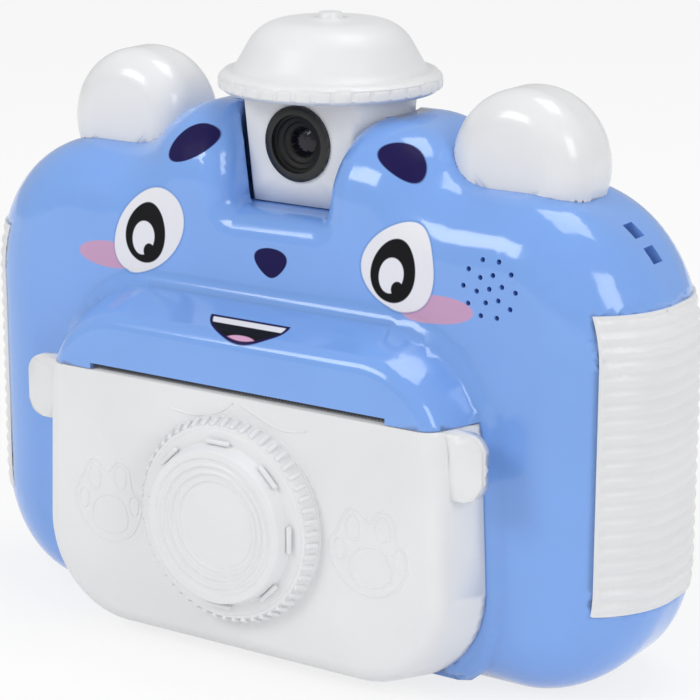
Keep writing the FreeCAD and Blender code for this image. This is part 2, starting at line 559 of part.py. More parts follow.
# hinge lugs on the casing, and the bosses that carry the printer
lugs = []
for k, x in enumerate(["HingeLugX", "-HingeLugX"]):
    lugs.append(rod(f"lug{k}", "x", "LugRound", "LugWidth", f"{x} - LugWidth / 2", "-HingeBack",
        "HingeHeight"))
    lugs.append(box(f"lug_arm{k}", (f"{x} - LugWidth / 2", f"{x} + LugWidth / 2"),
                    ("-HingeBack", "-BodyDepth / 2 + Wall"),
                    ("HingeHeight - LugRound + Bite", "HingeHeight + HingeClear")))
knuckle_reach = "LugWidth / 2 + SideClear + KnuckleWidth"
pin_bores = [rod(f"pin_bore{k}", "x", "HingePinRadius", f"2 * ({knuckle_reach})",
    f"{x} - ({knuckle_reach})",
                 "-HingeBack", "HingeHeight") for k, x in enumerate(["HingeLugX", "-HingeLugX"])]

head_front = "(-PlatenBack + PlatenRadius + NipGap)"
sink_back = f"({head_front} + HeadThick + SinkThick)"
frame_front = f"({sink_back} + SpringGap)"
flange_z = "(CheekTop - FlangeHeight / 2)"
PRINTER_PLACES = [("FlangeScrewX", flange_z), ("-FlangeScrewX", flange_z)]
printer_bosses = common("printer_bosses", post_limit, fuse("printer_boss_rods", *rods(
    "printer_boss", PRINTER_PLACES, "BossRadius", "-BodyDepth / 2", frame_front)))
printer_pilots = rods("printer_pilot", PRINTER_PLACES, "SmallScrew",
    f"{frame_front} + CheekThick - SmallLength",
                      f"{frame_front} + Overrun")

casing = fuse("casing_whole", hull, pocket_liner, posts_in, speaker_ring, printer_bosses, *lugs)
casing_cut = cut("casing_cut", casing, pocket_space, pivot_hole, recess_both, slot, blade_seat, *pin_bores,
                 *pilots, *head_wells, *printer_pilots, *grille, *lanyard)
front_half = box("front_half", ("-BodyWidth", "BodyWidth"), ("-BodyDepth * 2", "SeamPlane"),
    ("-1", "HumpHeight * 2"))
rear_half = box("rear_half", ("-BodyWidth", "BodyWidth"), ("SeamPlane", "BodyDepth"),
    ("-1", "HumpHeight * 2"))
front_shell = node("front_shell", common("front_shell", casing_cut, front_half))

# ------------------------------------------------------------------ rear shell
rear_inside = "(BodyDepth / 2 - Wall)"
board_back = "(BoardFront + BoardThick)"
PAD = [("up", "-PadX", "PadZ + PadPitch", "KeyRadius"), ("down", "-PadX", "PadZ - PadPitch", "KeyRadius"),
       ("left", "-PadX - PadPitch", "PadZ", "KeyRadius"),
       ("right", "-PadX + PadPitch", "PadZ", "KeyRadius"),
       ("shutter", "-PadX", "PadZ", "ShutterRadius"),
       ("power", "-PadX - TopKeyStep", "PadZ + TopKeyRise", "KeyRadius"),
       ("mode", "-PadX + TopKeyStep", "PadZ + TopKeyRise", "KeyRadius"),
       ("delete", "-PadX", "PadZ - LowKeyDrop", "KeyRadius")]

bosses = common("board_bosses", post_limit, fuse("boss_rods", *rods(
    "boss", BOSS_PLACES, "BossRadius", board_back, "BodyDepth / 2")))
boss_pilots = rods("boss_pilot", BOSS_PLACES, "SmallScrew", board_back,
    "BoardFront + SmallLength + Overrun / 2")
key_holes = [rod(f"key_hole_{name}", "y", f"{radius} + KeyClear", "Wall * 2", x,
    "BodyDepth / 2 - Wall * 1.5", z)
             for name, x, z, radius in PAD]


def rounded_slab(label, x, z, width, height, y, radius):
    """A slab facing front and back, centred at a place, with its four corners rounded."""
    slab = box(label + "_slab", (f"{x} - ({width}) / 2", f"{x} + ({width}) / 2"), y,
               (f"{z} - ({height}) / 2", f"{z} + ({height}) / 2"))
    doc.recompute()
    rounded = doc.addObject("Part::Fillet", label)
    rounded.Base = slab
    rounded.Edges = [(k, radius, radius) for k, e in enumerate(slab.Shape.Edges, 1)
                     if e.BoundBox.XLength + e.BoundBox.ZLength < 0.01]
    return rounded


window_seat = rounded_slab(
    "window_seat", "ScreenX", "ScreenZ", "ScreenWidth + WindowGap * 2", "ScreenHeight + WindowGap * 2",
    ("BodyDepth / 2 - WindowThick", "BodyDepth"), mm["WindowCorner"])
window_hole = rounded_slab(
    "window_hole", "ScreenX", "ScreenZ", "ScreenWidth - WindowBorder * 2",
    "ScreenHeight - WindowBorder * 2",
    (f"{rear_inside} - Overrun", "BodyDepth"), mm["WindowCorner"] - mm["WindowGap"])
port_floor = "(BodyDepth / 2 - PortThick - PortGap)"
port_recess = rounded_slab(
    "port_recess", "PortX", "PortZ", "PortWidth + PortGap * 2", "PortHeight + PortGap * 2",
    (port_floor, "BodyDepth"), mm["PortGap"] * 2)
socket_holes = [
    box(f"socket_hole{k}", (f"{x} - {width} / 2 - SocketFit", f"{x} + {width} / 2 + SocketFit"),
    (board_back, "BodyDepth / 2"),
        (f"PortZ - {height} / 2 - SocketFit", f"PortZ + {height} / 2 + SocketFit"))
    for k, (x, width, height) in enumerate([("SocketX", "SocketWidth", "SocketHeight"),
    ("CardX", "CardWidth", "CardHeight")])]
rear_whole = fuse("rear_whole", common("rear_casing", casing_cut, rear_half), bosses)
node("rear_shell", cut("rear_shell", rear_whole, window_seat, window_hole, port_recess, *boss_pilots,
    *key_holes,
                       *socket_holes))

# ------------------------------------------------------------------ ears, grips and tear edge
ear_disc = rod("ear_disc", "y", "EarRadius", "EarThick", "EarCentre", "-EarThick / 2", "EarHeight")
ear_core = rod("ear_core", "y", "EarRadius - EarWall", "EarThick - EarWall * 2", "EarCentre",
               "-EarThick / 2 + EarWall", "EarHeight")


def all_edges_rounded(label, base, radius):
    doc.recompute()
    rounded = doc.addObject("Part::Fillet", label)
    rounded.Base = base
    rounded.Edges = [(k, radius, radius) for k, e in enumerate(base.Shape.Edges, 1) if e.isClosed()]
    return rounded


ear_form = all_edges_rounded("ear_form", ear_disc, mm["EarRound"])
ear_hollow = all_edges_rounded("ear_hollow", ear_core, mm["EarRound"] - mm["EarWall"])
ear = node("right_ear", cut("right_ear", ear_form, ear_hollow, outer_blank))
node("left_ear", mirror_of("left_ear", ear))
grip = node("right_grip", grip_band)
node("left_grip", mirror_of("left_grip", grip))


def tear_profile():
    """The blade's outline: a straight back and a row of teeth along its lower edge."""
    half, tip = mm["SlotHalf"] - mm["BladeClear"], mm["DoorTop"] + mm["BladeTip"]
    top = mm["DoorTop"] + mm["DoorGap"] + mm["VisorFloor"]
    count = round(2 * half / mm["BladePitch"])
    pitch = 2 * half / count
    y = -mm["MuzzleReach"] + mm["BladeInset"]
    teeth = [V(-half + pitch * k / 2, y, tip if k % 2 else tip + pitch / 2) for k in range(2 * count + 1)]
    corners = [V(-half, y, top)] + teeth + [V(half, y, top)]
    return Part.Face(Part.makePolygon(corners + corners[:1]))


node("tear_blade", solid("tear_blade", tear_profile().extrude(V(0, mm["BladeThick"], 0))))

# ------------------------------------------------------------------ paper door
door_back = "(-BodyDepth / 2 - RimProud - DoorSeat)"
door_zone = box("door_zone", ("-BodyWidth", "BodyWidth"), ("-MuzzleReach * 2", door_back),
    ("-1", "DoorTop"))
tab_slab = rounded_slab("tab_slab", "0", "DoorTop - TabHeight / 2", "TabReach * 2", "TabHeight",
                        ("-TabFront", "-TabFront + TabThick"), mm["TabRound"])
tab_top = box("tab_top", ("-MuzzleTopX - MuzzleTopRound", "MuzzleTopX + MuzzleTopRound"),
              ("-TabFront", "-TabFront + TabThick"), ("DoorTop - TabHeight", "DoorTop"))
knuckles = []
notches = []
for k, x in enumerate(["HingeLugX", "-HingeLugX"]):
    knuckles.append(rod(f"knuckles{k}", "x", "LugRound", f"2 * ({knuckle_reach})",
        f"{x} - ({knuckle_reach})",
                        "-HingeBack", "HingeHeight"))
    notch_x = (f"{x} - LugWidth / 2 - SideClear", f"{x} + LugWidth / 2 + SideClear")
    notches.append(rod(f"lug_notch{k}", "x", "LugRound + HingeClear * 2", "LugWidth + SideClear * 2",
        notch_x[0],
                       "-HingeBack", "HingeHeight"))
    notches.append(box(f"lug_gap{k}", notch_x, ("-HingeBack - LugRound", "0"), ("0", "HingeHeight")))
pin_runs = [rod(f"pin_run{k}", "x", "HingePinRadius + HingeFit", f"2 * ({knuckle_reach}) + Overrun",
                f"{x} - ({knuckle_reach}) - Overrun / 2", "-HingeBack", "HingeHeight")
            for k, x in enumerate(["HingeLugX", "-HingeLugX"])]
door_room = common("door_room", muzzle_hollow, box(
    "door_room_zone", ("-BodyWidth", "BodyWidth"), ("-MuzzleReach * 2", "0"), ("-1", "DoorTop - DoorWall")))
arm_x = "PlatenLength / 2 + ArmGap"
arms = []
for k, x in enumerate([(arm_x, f"{arm_x} + ArmThick"), (f"-({arm_x}) - ArmThick", f"-({arm_x})")]):
    arms.append(box(f"arm_plate{k}", x, ("-MuzzleReach + DoorWall - Bite", "-PlatenBack"),
                    ("PlatenHeight - ArmRound", "DoorTop - DoorWall + Bite")))
    arms.append(rod(f"arm_round{k}", "x", "ArmRound", f"({x[1]}) - ({x[0]})", x[0], "-PlatenBack",
        "PlatenHeight"))
    arms.append(box(f"arm_web{k}", x, ("-PlatenBack - Sliver", "-PlatenBack + ArmRound"),
                    ("PlatenHeight", "DoorTop - DoorWall + Bite")))
shaft_run = rod("shaft_run", "x", "PlatenShaft + ShaftFit", "BodyWidth", "-BodyWidth / 2", "-PlatenBack",
    "PlatenHeight")
catches = two("catches", fuse(
    "catch",
    box("catch_foot", ("CatchX - CatchThick / 2", "MuzzleTopX + MuzzleTopRound - DoorWall / 2"),
    (f"{door_back} - CatchReach", door_back),
        ("CatchZ - CatchWidth / 2", "CatchZ + CatchWidth / 2")),
    box("catch_tongue", ("CatchX - CatchThick / 2", "CatchX + CatchThick / 2"),
    (f"{door_back} - CatchReach", f"{door_back} + CatchReach"),
        ("CatchZ - CatchWidth / 2", "CatchZ + CatchWidth / 2"))))
door_block = fuse("door_block", common("door_form", muzzle, door_zone), tab_slab, tab_top)
door_shell = cut("door_shell", door_block, door_room)
door_whole = fuse("door_whole", door_shell, catches, *arms, *knuckles)
node("paper_door", cut("paper_door", door_whole, *pin_runs, *notches, shaft_run))

node("door_hinge_pins", fuse("door_hinge_pins", *[
    rod(f"hinge_pin{k}", "x", "HingePinRadius", f"2 * ({knuckle_reach})", f"{x} - ({knuckle_reach})",
    "-HingeBack", "HingeHeight")
    for k, x in enumerate(["HingeLugX", "-HingeLugX"])]))

node("door_ring", turned("door_ring", [
    ("RingRadius - RingWall * 1.6", "0"), ("RingRadius", "0"), ("RingRadius", "KnurlDepth * 0.3"),
    ("ShoulderRadius", "KnurlDepth"), ("CollarRadius", "CollarRise"), ("RimRadius", "RingProud"),
    ("RimRadius - RingRim", "RingProud"), ("DiscRadius + StepWidth * 2", "RingProud - StepDepth"),
    ("DiscRadius + StepWidth * 2", "RingProud - StepDepth * 1.6"),
    ("DiscRadius + StepWidth", "RingProud - StepDepth * 1.6"),
    ("DiscRadius + StepWidth", "RingProud - StepDepth * 2.2"),
    ("DiscRadius", "RingProud - StepDepth * 2.2"),
    ("DiscRadius", "RingProud - StepDepth * 2.6"), ("0", "RingProud - StepDepth * 2.6"),
    ("0", "RingProud - StepDepth * 2.6 - RingWall"),
    ("DiscRadius + StepWidth * 2", "RingProud - StepDepth * 2.6 - RingWall"),
    ("CollarRadius - RingWall", "CollarRise - RingWall"),
    ("RingRadius - RingWall * 1.6", "CollarRise - RingWall * 1.4")],
    "front", "0", "-MuzzleReach", "RingHeight"))

# ------------------------------------------------------------------ turret
cup_height = "(CupTop - CupBottom)"
cup_form = cone("cup_form", "z", "CupBottomRadius", "CupTopRadius", cup_height, z="CupBottom")
cup_tube = rod("cup_tube", "z", "PivotRadius", "PivotDrop + Overrun", z="CupBottom - PivotDrop")
cup_core = cone("cup_core", "z", "CupBottomRadius - CupWall", "CupTopRadius - CupWall", cup_height,
    z="CupBottom + CupWall")
turret_half = ("-BodyWidth", "BodyWidth")
facet_cut = box("facet_cut", turret_half, ("-BodyDepth", "-Facet"),
    ("CupBottom - Overrun", "CupTop + Overrun"))
facet_room = box("facet_room", turret_half, ("-Facet + CupWall", "BodyDepth"),
    ("CupBottom", "CupTop + CupWall + Overrun"))
cup_bore = rod("cup_bore", "z", "PivotRadius - PivotWall", "PivotDrop + CupWall + 2 * Overrun",
    z="CupBottom - PivotDrop - Overrun")
clip_top = "(PocketFloor - Wall - ClipGap)"
cup_groove = cut("cup_groove", rod("groove_outer", "z", "PivotRadius + Overrun", "ClipThick",
    z=f"{clip_top} - ClipThick"),
                 rod("groove_inner", "z", "PivotRadius - GrooveDepth", "ClipThick",
                 z=f"{clip_top} - ClipThick"))
bezel_bore = rod("bezel_bore", "y", "BezelStem", "CupWall + Overrun", "0", "-Facet - Overrun / 2",
    "LensHeight")
node("turret_cup", cut("turret_cup", fuse("cup_block", cup_form, cup_tube),
    common("cup_room", cup_core, facet_room),
                       facet_cut, cup_bore, cup_groove, bezel_bore))
node("turret_clip", cut("turret_clip", rod("clip_disc", "z", "ClipRadius", "ClipThick",
    z=f"{clip_top} - ClipThick"),
                        rod("clip_bore", "z", "PivotRadius - GrooveDepth", "ClipThick",
                        z=f"{clip_top} - ClipThick")))


def dome(label, radius, rise, foot):
    """Half of an ellipsoid standing on its foot, turned about the turret's axis."""
    curve = Part.Ellipse(V(radius, 0, foot), V(0, 0, foot + rise), V(0, 0, foot))
    quarter = Part.ArcOfEllipse(curve, 0, math.pi / 2).toShape()
    wire = Part.Wire([quarter, Part.LineSegment(V(0, 0, foot + rise), V(0, 0, foot)).toShape(),
                      Part.LineSegment(V(0, 0, foot), V(radius, 0, foot)).toShape()])
    return solid(label, Part.Face(wire).revolve(V(), V(0, 0, 1), 360))


brim = turned("lid_brim", [("0", "0"), ("BrimRadius - BrimEdge", "0"), ("BrimRadius", "BrimEdge"),
                           ("BrimRadius", "BrimBand - BrimEdge"), ("BrimRadius - BrimEdge", "BrimBand"),
                           ("0", "BrimBand")],
              z="BrimLow")
dome_foot, dome_top_at = mm["DomeFoot"], mm["DomeFoot"] + mm["DomeRise"]
shoulder_at = dome_top_at - mm["DomeCrown"]
lid_form = Part.Face(Part.makePolygon([
    V(0, 0, dome_foot), V(mm["DomeRadius"], 0, dome_foot), V(mm["DomeShoulder"], 0, shoulder_at),
    V(0, 0, dome_top_at), V(0, 0, dome_foot)])).revolve(V(), V(0, 0, 1), 360)
shoulder_edges = [e for e in lid_form.Edges
                  if e.BoundBox.ZMin > shoulder_at - 0.01 and e.BoundBox.ZMax < shoulder_at + 0.01]
lid_dome = solid("lid_dome", lid_form.makeFillet(mm["DomeRound"], shoulder_edges))
knob = cone("lid_knob", "z", "KnobRadius", "KnobRadius * 0.75", "KnobRise + Overrun",
    z="DomeFoot + DomeRise - Overrun")
lid_seat = rod("lid_seat", "z", "CupTopRadius", "CupTop - BrimLow + Overrun", z="BrimLow - Overrun")
lid_core = rod("lid_core", "z", "CupTopRadius - LidWall", "DomeFoot - BrimLow", z="BrimLow")
lid_room = dome("lid_room", mm["CupTopRadius"] - mm["LidWall"], mm["DomeRise"] - mm["LidWall"],
    mm["DomeFoot"])
node("turret_lid", cut("turret_lid", fuse("lid_block", brim, lid_dome, knob), lid_seat, lid_core, lid_room))

# the lens: bezel pressed into the facet, a stepped barrel inside it, and the sensor behind
node("lens_bezel", turned("lens_bezel", [
    ("BarrelRadius", "0"), ("BezelStem", "0"), ("BezelStem", "CupWall"), ("BezelRadius", "CupWall"),
    ("BezelRadius", "CupWall + BezelProud * 0.6"), ("BezelRadius - BezelProud", "CupWall + BezelProud"),
    ("BarrelRadius", "CupWall + BezelProud")], "front", "0", "-Facet + CupWall", "LensHeight"))
barrel_back = "(-Facet + BarrelDepth)"
lens_seat = "(BarrelDepth - BarrelStep * 3)"
node("lens_barrel", turned("lens_barrel", [
    ("LensRadius - BarrelWall", "0"), ("BarrelRadius", "0"), ("BarrelRadius", "BarrelDepth"),
    ("BarrelRadius - BarrelWall", "BarrelDepth"), ("BarrelRadius - BarrelWall * 1.6",
    "BarrelDepth - BarrelStep"),
    ("BarrelRadius - BarrelWall * 2.6", "BarrelDepth - BarrelStep"),
    ("BarrelRadius - BarrelWall * 3.2", "BarrelDepth - BarrelStep * 2"),
    ("BarrelRadius - BarrelWall * 4.2", "BarrelDepth - BarrelStep * 2"), ("LensRadius", lens_seat),
    ("LensRadius", f"{lens_seat} - LensThick"), ("LensRadius - BarrelWall", f"{lens_seat} - LensThick")],
    "front", "0", barrel_back, "LensHeight"))
node("lens_glass", turned("lens_glass", [
    ("0", "0"), ("LensRadius", "0"), ("LensRadius", "LensThick * 0.6"),
    ("LensRadius * 0.6", "LensThick * 0.9"),
    ("0", "LensThick")], "front", "0", f"{barrel_back} - {lens_seat} + LensThick", "LensHeight"))
node("camera_module", box("camera_module", ("-ModuleSide / 2", "ModuleSide / 2"),
    (barrel_back, f"{barrel_back} + ModuleDepth"),
                          ("LensHeight - ModuleSide / 2", "LensHeight + ModuleSide / 2")))

# ------------------------------------------------------------------ speaker
node("speaker", fuse(
    "speaker",
    rod("speaker_cone", "y", "SpeakerRadius", "SpeakerDepth", "SpeakerX", speaker_front, "SpeakerZ"),
    rod("speaker_magnet", "y", "MagnetRadius", "MagnetDepth + Bite", "SpeakerX",
    f"{speaker_front} + SpeakerDepth - Bite",
        "SpeakerZ")))
node("speaker_gasket", common("speaker_gasket", inner, cut(
    "gasket_ring", rod("gasket_disc", "y", "SpeakerRadius", "SpeakerStandoff + Overrun", "SpeakerX",
    f"{speaker_front} - SpeakerStandoff - Overrun",
                       "SpeakerZ"),
    rod("gasket_bore", "y", "SpeakerRadius - GasketWidth", "SpeakerStandoff + 2 * Overrun", "SpeakerX",
    f"{speaker_front} - SpeakerStandoff - Overrun",
        "SpeakerZ"))))

# ------------------------------------------------------------------ paper roll and its cradle
trough_in = "(RollRadius + CradleGap)"
trough_out = "(RollRadius + CradleGap + CradleWall)"
cradle_half = "(RollLength / 2 + CradleGap + CradleSide)"
roll_y = "-RollBack"
cradle_rod = rod("cradle_rod", "x", trough_out, f"2 * {cradle_half}", f"-{cradle_half}", roll_y,
    "RollHeight")
cradle_legs = [box(f"cradle_leg{k}", (f"{x} - CradleLeg / 2", f"{x} + CradleLeg / 2"),
    ("-CradleFoot", "CradleFoot / 2"),
                   ("Wall", "RollHeight - RollRadius")) for k,
                   x in enumerate(["RollLength / 3", "-RollLength / 3"])]
cradle_room = rod("cradle_room", "x", trough_in, "RollLength + CradleGap * 2",
    "-RollLength / 2 - CradleGap", roll_y,
                  "RollHeight")
cradle_zone = box("cradle_zone", ("-BodyWidth / 2", "BodyWidth / 2"),
    ("-BodyDepth / 2 - RimProud + CradleGap", "BodyDepth"),
                  ("0", "RollHeight"))
node("paper_cradle", common("paper_cradle", cradle_zone, cut(
    "cradle_trough", fuse("cradle_block", cradle_rod, *cradle_legs), cradle_room)))


def tube(label, axis, outer_radius, inner_radius, length, x, y, z):
    return cut(label, rod(label + "_outer", axis, outer_radius, length, x, y, z),
               rod(label + "_bore", axis, inner_radius, length, x, y, z))


node("paper_roll", tube("paper_roll", "x", "RollRadius", "CoreRadius", "RollLength", "-RollLength / 2",
    roll_y, "RollHeight"))
node("paper_core", tube("paper_core", "x", "CoreRadius", "CoreRadius - CoreWall", "RollLength",
    "-RollLength / 2", roll_y,
                        "RollHeight"))

# ------------------------------------------------------------------ printer
cheek_in, cheek_out = "CheekX", "(CheekX + CheekThick)"
gear_x = f"({cheek_out} + GearClear)"
drop_y, drop_z = "(PlatenBack - MotorBack)", "(MotorHeight - PlatenHeight)"
gear_span = f"sqrt({drop_y} ^ 2 + {drop_z} ^ 2)"
idler = f"(({gear_span} - PlatenGear - PinionGear - GearGap * 2) / 2)"
idler_share = f"((PlatenGear + GearGap + {idler}) / {gear_span})"
idler_y = f"(-PlatenBack + {drop_y} * {idler_share})"
idler_z = f"(PlatenHeight + {drop_z} * {idler_share})"
cheek_low = "(PlatenHeight - HeadHeight / 2 + HeadInset)"
frame_back = f"({frame_front} + CheekThick)"
cheeks = two("cheeks", box("cheek", (cheek_in, cheek_out), (head_front, "-MotorBack + MotorRadius"),
    (cheek_low, "CheekTop")))
back_plate = box("back_plate", ("-CheekX", "CheekX"), (frame_front, frame_back), (cheek_low, "CheekTop"))
flanges = box("flanges", ("-FlangeReach", "FlangeReach"), (frame_front, frame_back),
    ("CheekTop - FlangeHeight", "CheekTop"))
stub = rod("idler_stub", "x", "StubRadius - ShaftFit", f"{gear_x} + GearFace - CheekX", "CheekX", idler_y,
    idler_z)
nose_hole = rod("nose_hole", "x", "PinionGear + GearGap", "CheekThick * 3", "CheekX - CheekThick",
    "-MotorBack", "MotorHeight")
flange_holes = rods("flange_hole", PRINTER_PLACES, "SmallScrew", frame_front, frame_back)
node("printer_frame", cut("printer_frame", fuse("frame_block", cheeks, back_plate, flanges, stub),
    nose_hole, *flange_holes))
head_z = ("PlatenHeight - HeadHeight / 2", "PlatenHeight + HeadHeight / 2")
node("print_head", box("print_head", ("-PlatenLength / 2", "PlatenLength / 2"),
    (head_front, f"{head_front} + HeadThick"), head_z))
node("heat_sink", box("heat_sink", ("-PlatenLength / 2 - SinkExtra", "PlatenLength / 2 + SinkExtra"),
                      (f"{head_front} + HeadThick", sink_back), head_z))


def head_spring(label, x):
    """A bowed leaf spring: its ends lie on the frame's back plate and its middle presses the heat sink."""
    low, thick, half = mm["PlatenHeight"] - mm["SpringWidth"] / 2, mm["SpringThick"], mm["SpringHalf"]
    sink = -mm["PlatenBack"] + mm["PlatenRadius"] + mm["NipGap"] + mm["HeadThick"] + mm["SinkThick"]
    crest, ends = sink + mm["SpringSlack"], sink + mm["SpringGap"]
    outer_bow = Part.Arc(V(x - half, ends - thick, low), V(x, crest, low),
        V(x + half, ends - thick, low)).toShape()
    inner_bow = Part.Arc(V(x - half, ends, low), V(x, crest + thick, low), V(x + half, ends, low)).toShape()
    sides = [Part.LineSegment(V(x + s * half, ends - thick, low),
        V(x + s * half, ends, low)).toShape() for s in (-1, 1)]
    bow = Part.Face(Part.Wire(Part.__sortEdges__([outer_bow, inner_bow] + sides)))
    return solid(label, bow.extrude(V(0, 0, mm["SpringWidth"])))


node("head_springs", fuse("head_springs", *[
    head_spring(f"head_spring{k}", step * mm["SpringStep"]) for k, step in enumerate((-1, 0, 1))]))
node("stepper_motor", rod("stepper_motor", "x", "MotorRadius", "MotorLength", "CheekX - MotorLength",
    "-MotorBack", "MotorHeight"))
node("motor_pinion", fuse(
    "motor_pinion", gear("pinion_teeth", "PinionGear", 8, "MotorShaft", "x", gear_x, "-MotorBack",
    "MotorHeight"),
    rod("motor_shaft", "x", "MotorShaft", f"{gear_x} + GearFace - CheekX - Sliver", "CheekX + Sliver",
    "-MotorBack", "MotorHeight")))
node("idler_gear", gear("idler_gear", idler, 21, "StubRadius", "x", gear_x, idler_y, idler_z))
node("platen_gear", gear("platen_gear", "PlatenGear", 14, "PlatenShaft", "x", gear_x, "-PlatenBack",
    "PlatenHeight"))
node("platen_shaft", rod("platen_shaft", "x", "PlatenShaft", f"{arm_x} + ArmThick + {gear_x} + GearFace",
                         f"-({arm_x} + ArmThick)", "-PlatenBack", "PlatenHeight"))
node("platen_roller", tube("platen_roller", "x", "PlatenRadius", "PlatenShaft", "PlatenLength",
    "-PlatenLength / 2",
                           "-PlatenBack", "PlatenHeight"))


def screws(label, places, head_y, head, head_thick, shank, length, inward):
    """Cross-head screws: the head sits against its seat and the shank runs inwards."""
    made = []
    for k, (x, z) in enumerate(places):
        head_from = head_y if inward < 0 else f"{head_y} - {head_thick}"
        tail_from = f"{head_y} - {length}" if inward < 0 else head_y
        face_y = f"{head_y} + {head_thick} * 0.5" if inward < 0 else f"{head_y} - {head_thick}"
        body = fuse(f"{label}_body{k}", rod(f"{label}_head{k}", "y", head, head_thick, x, head_from, z),
                    rod(f"{label}_shank{k}", "y", shank, length, x, tail_from, z))
        slots = [box(f"{label}_slot{k}{n}", (f"{x} - {w}", f"{x} + {w}"),
            (face_y, f"{face_y} + {head_thick} * 0.5"),
                     (f"{z} - {h}", f"{z} + {h}"))
                 for n, (w, h) in enumerate([(f"{head} * 0.6", "ScrewCross / 2"),
                 ("ScrewCross / 2", f"{head} * 0.6")])]
        made.append(cut(f"{label}_{k}", body, *slots))
    return node(label, fuse(label, *made))


screws("printer_screws", PRINTER_PLACES, frame_back, "SmallHead", "SmallHeadThick", "SmallScrew",
    "SmallLength", -1)
screws("board_screws", BOSS_PLACES, "BoardFront", "SmallHead", "SmallHeadThick", "SmallScrew",
    "SmallLength", 1)
screws("case_screws", POST_PLACES, "(SeamPlane + ScrewSeat)", "ScrewHead", "ScrewHeadThick", "ScrewRadius",
    "ScrewLength", -1)

# ------------------------------------------------------------------ electronics
board = box("board_plate", ("-BoardHalf", "BoardHalf"), ("BoardFront", board_back),
    ("BoardLow", "BoardHigh"))
node("main_board", cut("main_board", board, *rods("board_hole", BOSS_PLACES, "SmallScrew", "BoardFront",
    board_back)))
node("screen_module", rounded_slab("screen_module", "ScreenX", "ScreenZ", "ScreenWidth", "ScreenHeight",
                                   (board_back, f"{rear_inside} - ScreenGap"), mm["WindowThick"]))
node("screen_window", rounded_slab("screen_window", "ScreenX", "ScreenZ", "ScreenWidth", "ScreenHeight",
                                   ("BodyDepth / 2 - WindowThick", "BodyDepth / 2"),
                                   mm["WindowCorner"] - mm["WindowGap"]))
battery_back = "BoardFront - BatteryGap"
node("battery", rounded_slab("battery", "-BatteryX + BatteryWidth / 2", "BatteryLow + BatteryHeight / 2",
    "BatteryWidth",
                             "BatteryHeight", (f"{battery_back} - BatteryThick", battery_back),
                             mm["BatteryRound"]))
mat = box("mat_sheet", ("-PadX - MatHalf", "-PadX + MatHalf"), (board_back, f"{board_back} + MatThick"),
          ("PadZ - LowKeyDrop - MatMargin", "PadZ + TopKeyRise + MatMargin"))
dome_top = f"({board_back} + MatThick + DomeHeight)"
key_domes = [rod(f"key_dome_{name}", "y", "DomeKeyRadius", "MatThick / 2 + DomeHeight", x,
    f"{board_back} + MatThick / 2", z)
             for name, x, z, radius in PAD]
node("key_mat", fuse("key_mat", mat, *key_domes))

stem_end = f"({dome_top} + KeyTravel + KeyLift)"
flange_y = f"({rear_inside} - KeyRest - KeyFlangeThick)"
key_height = f"(BodyDepth / 2 + KeyProud - {stem_end})"
flange_low = f"({flange_y} - {stem_end})"
flange_high = f"({flange_y} + KeyFlangeThick - {stem_end})"
for name, x, z, radius in PAD:
    node(name + "_button", turned(name + "_button", [
        ("0", "0"), ("KeyStem", "0"), ("KeyStem", flange_low), (f"{radius} + KeyFlange", flange_low),
        (f"{radius} + KeyFlange", flange_high), (radius, flange_high), (radius, f"{key_height} - KeyEdge"),
        (f"{radius} - KeyEdge", key_height), ("0", key_height)], "y", x, stem_end, z))


def socket(label, x, width, height):
    """A metal-shelled socket on the board, open towards the back, with its tongue inside."""
    end = f"({port_floor} - SocketFit)"
    shell = box(label + "_shell", (f"{x} - {width} / 2", f"{x} + {width} / 2"), (board_back, end),
                (f"PortZ - {height} / 2", f"PortZ + {height} / 2"))
    room = box(label + "_room", (f"{x} - {width} / 2 + SocketWall", f"{x} + {width} / 2 - SocketWall"),
               (f"{end} - SocketDeep", end), (f"PortZ - {height} / 2 + SocketWall",
               f"PortZ + {height} / 2 - SocketWall"))
    tongue = box(label + "_tongue", (f"{x} - {width} / 3", f"{x} + {width} / 3"),
        (board_back, f"{end} - SocketWall * 2"),
                 (f"PortZ - SocketWall", f"PortZ + SocketWall"))
    return node(label, fuse(label, cut(label + "_case", shell, room), tongue))


socket("usb_socket", "SocketX", "SocketWidth", "SocketHeight")
socket("card_socket", "CardX", "CardWidth", "CardHeight")
node("port_cover", rounded_slab("port_cover", "PortX", "PortZ", "PortWidth", "PortHeight",
                                ("BodyDepth / 2 - PortThick", "BodyDepth / 2"), mm["PortGap"]))

# ------------------------------------------------------------------ checks, then one file for each sub-part
doc.recompute()
failed = [o.Label for o in doc.Objects if "Invalid" in o.State or "Error" in o.State]
empty = [o.Label for o in NODES if o.Shape.isNull() or not o.Shape.isValid() or not o.Shape.Solids]
if failed or empty:
    raise RuntimeError(f"not written: failed {failed}, empty or invalid {empty}")
os.makedirs("parts", exist_ok=True)
for thing in NODES:
    thing.Shape.exportStep(f"parts/{thing.Label}.step")
print(len(NODES), "sub-parts written")
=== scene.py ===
"""The looks of a child's instant-print camera with a bear's face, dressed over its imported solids."""
import math

import bpy
from mathutils import Matrix, Vector
from mathutils.interpolate import poly_3d_calc


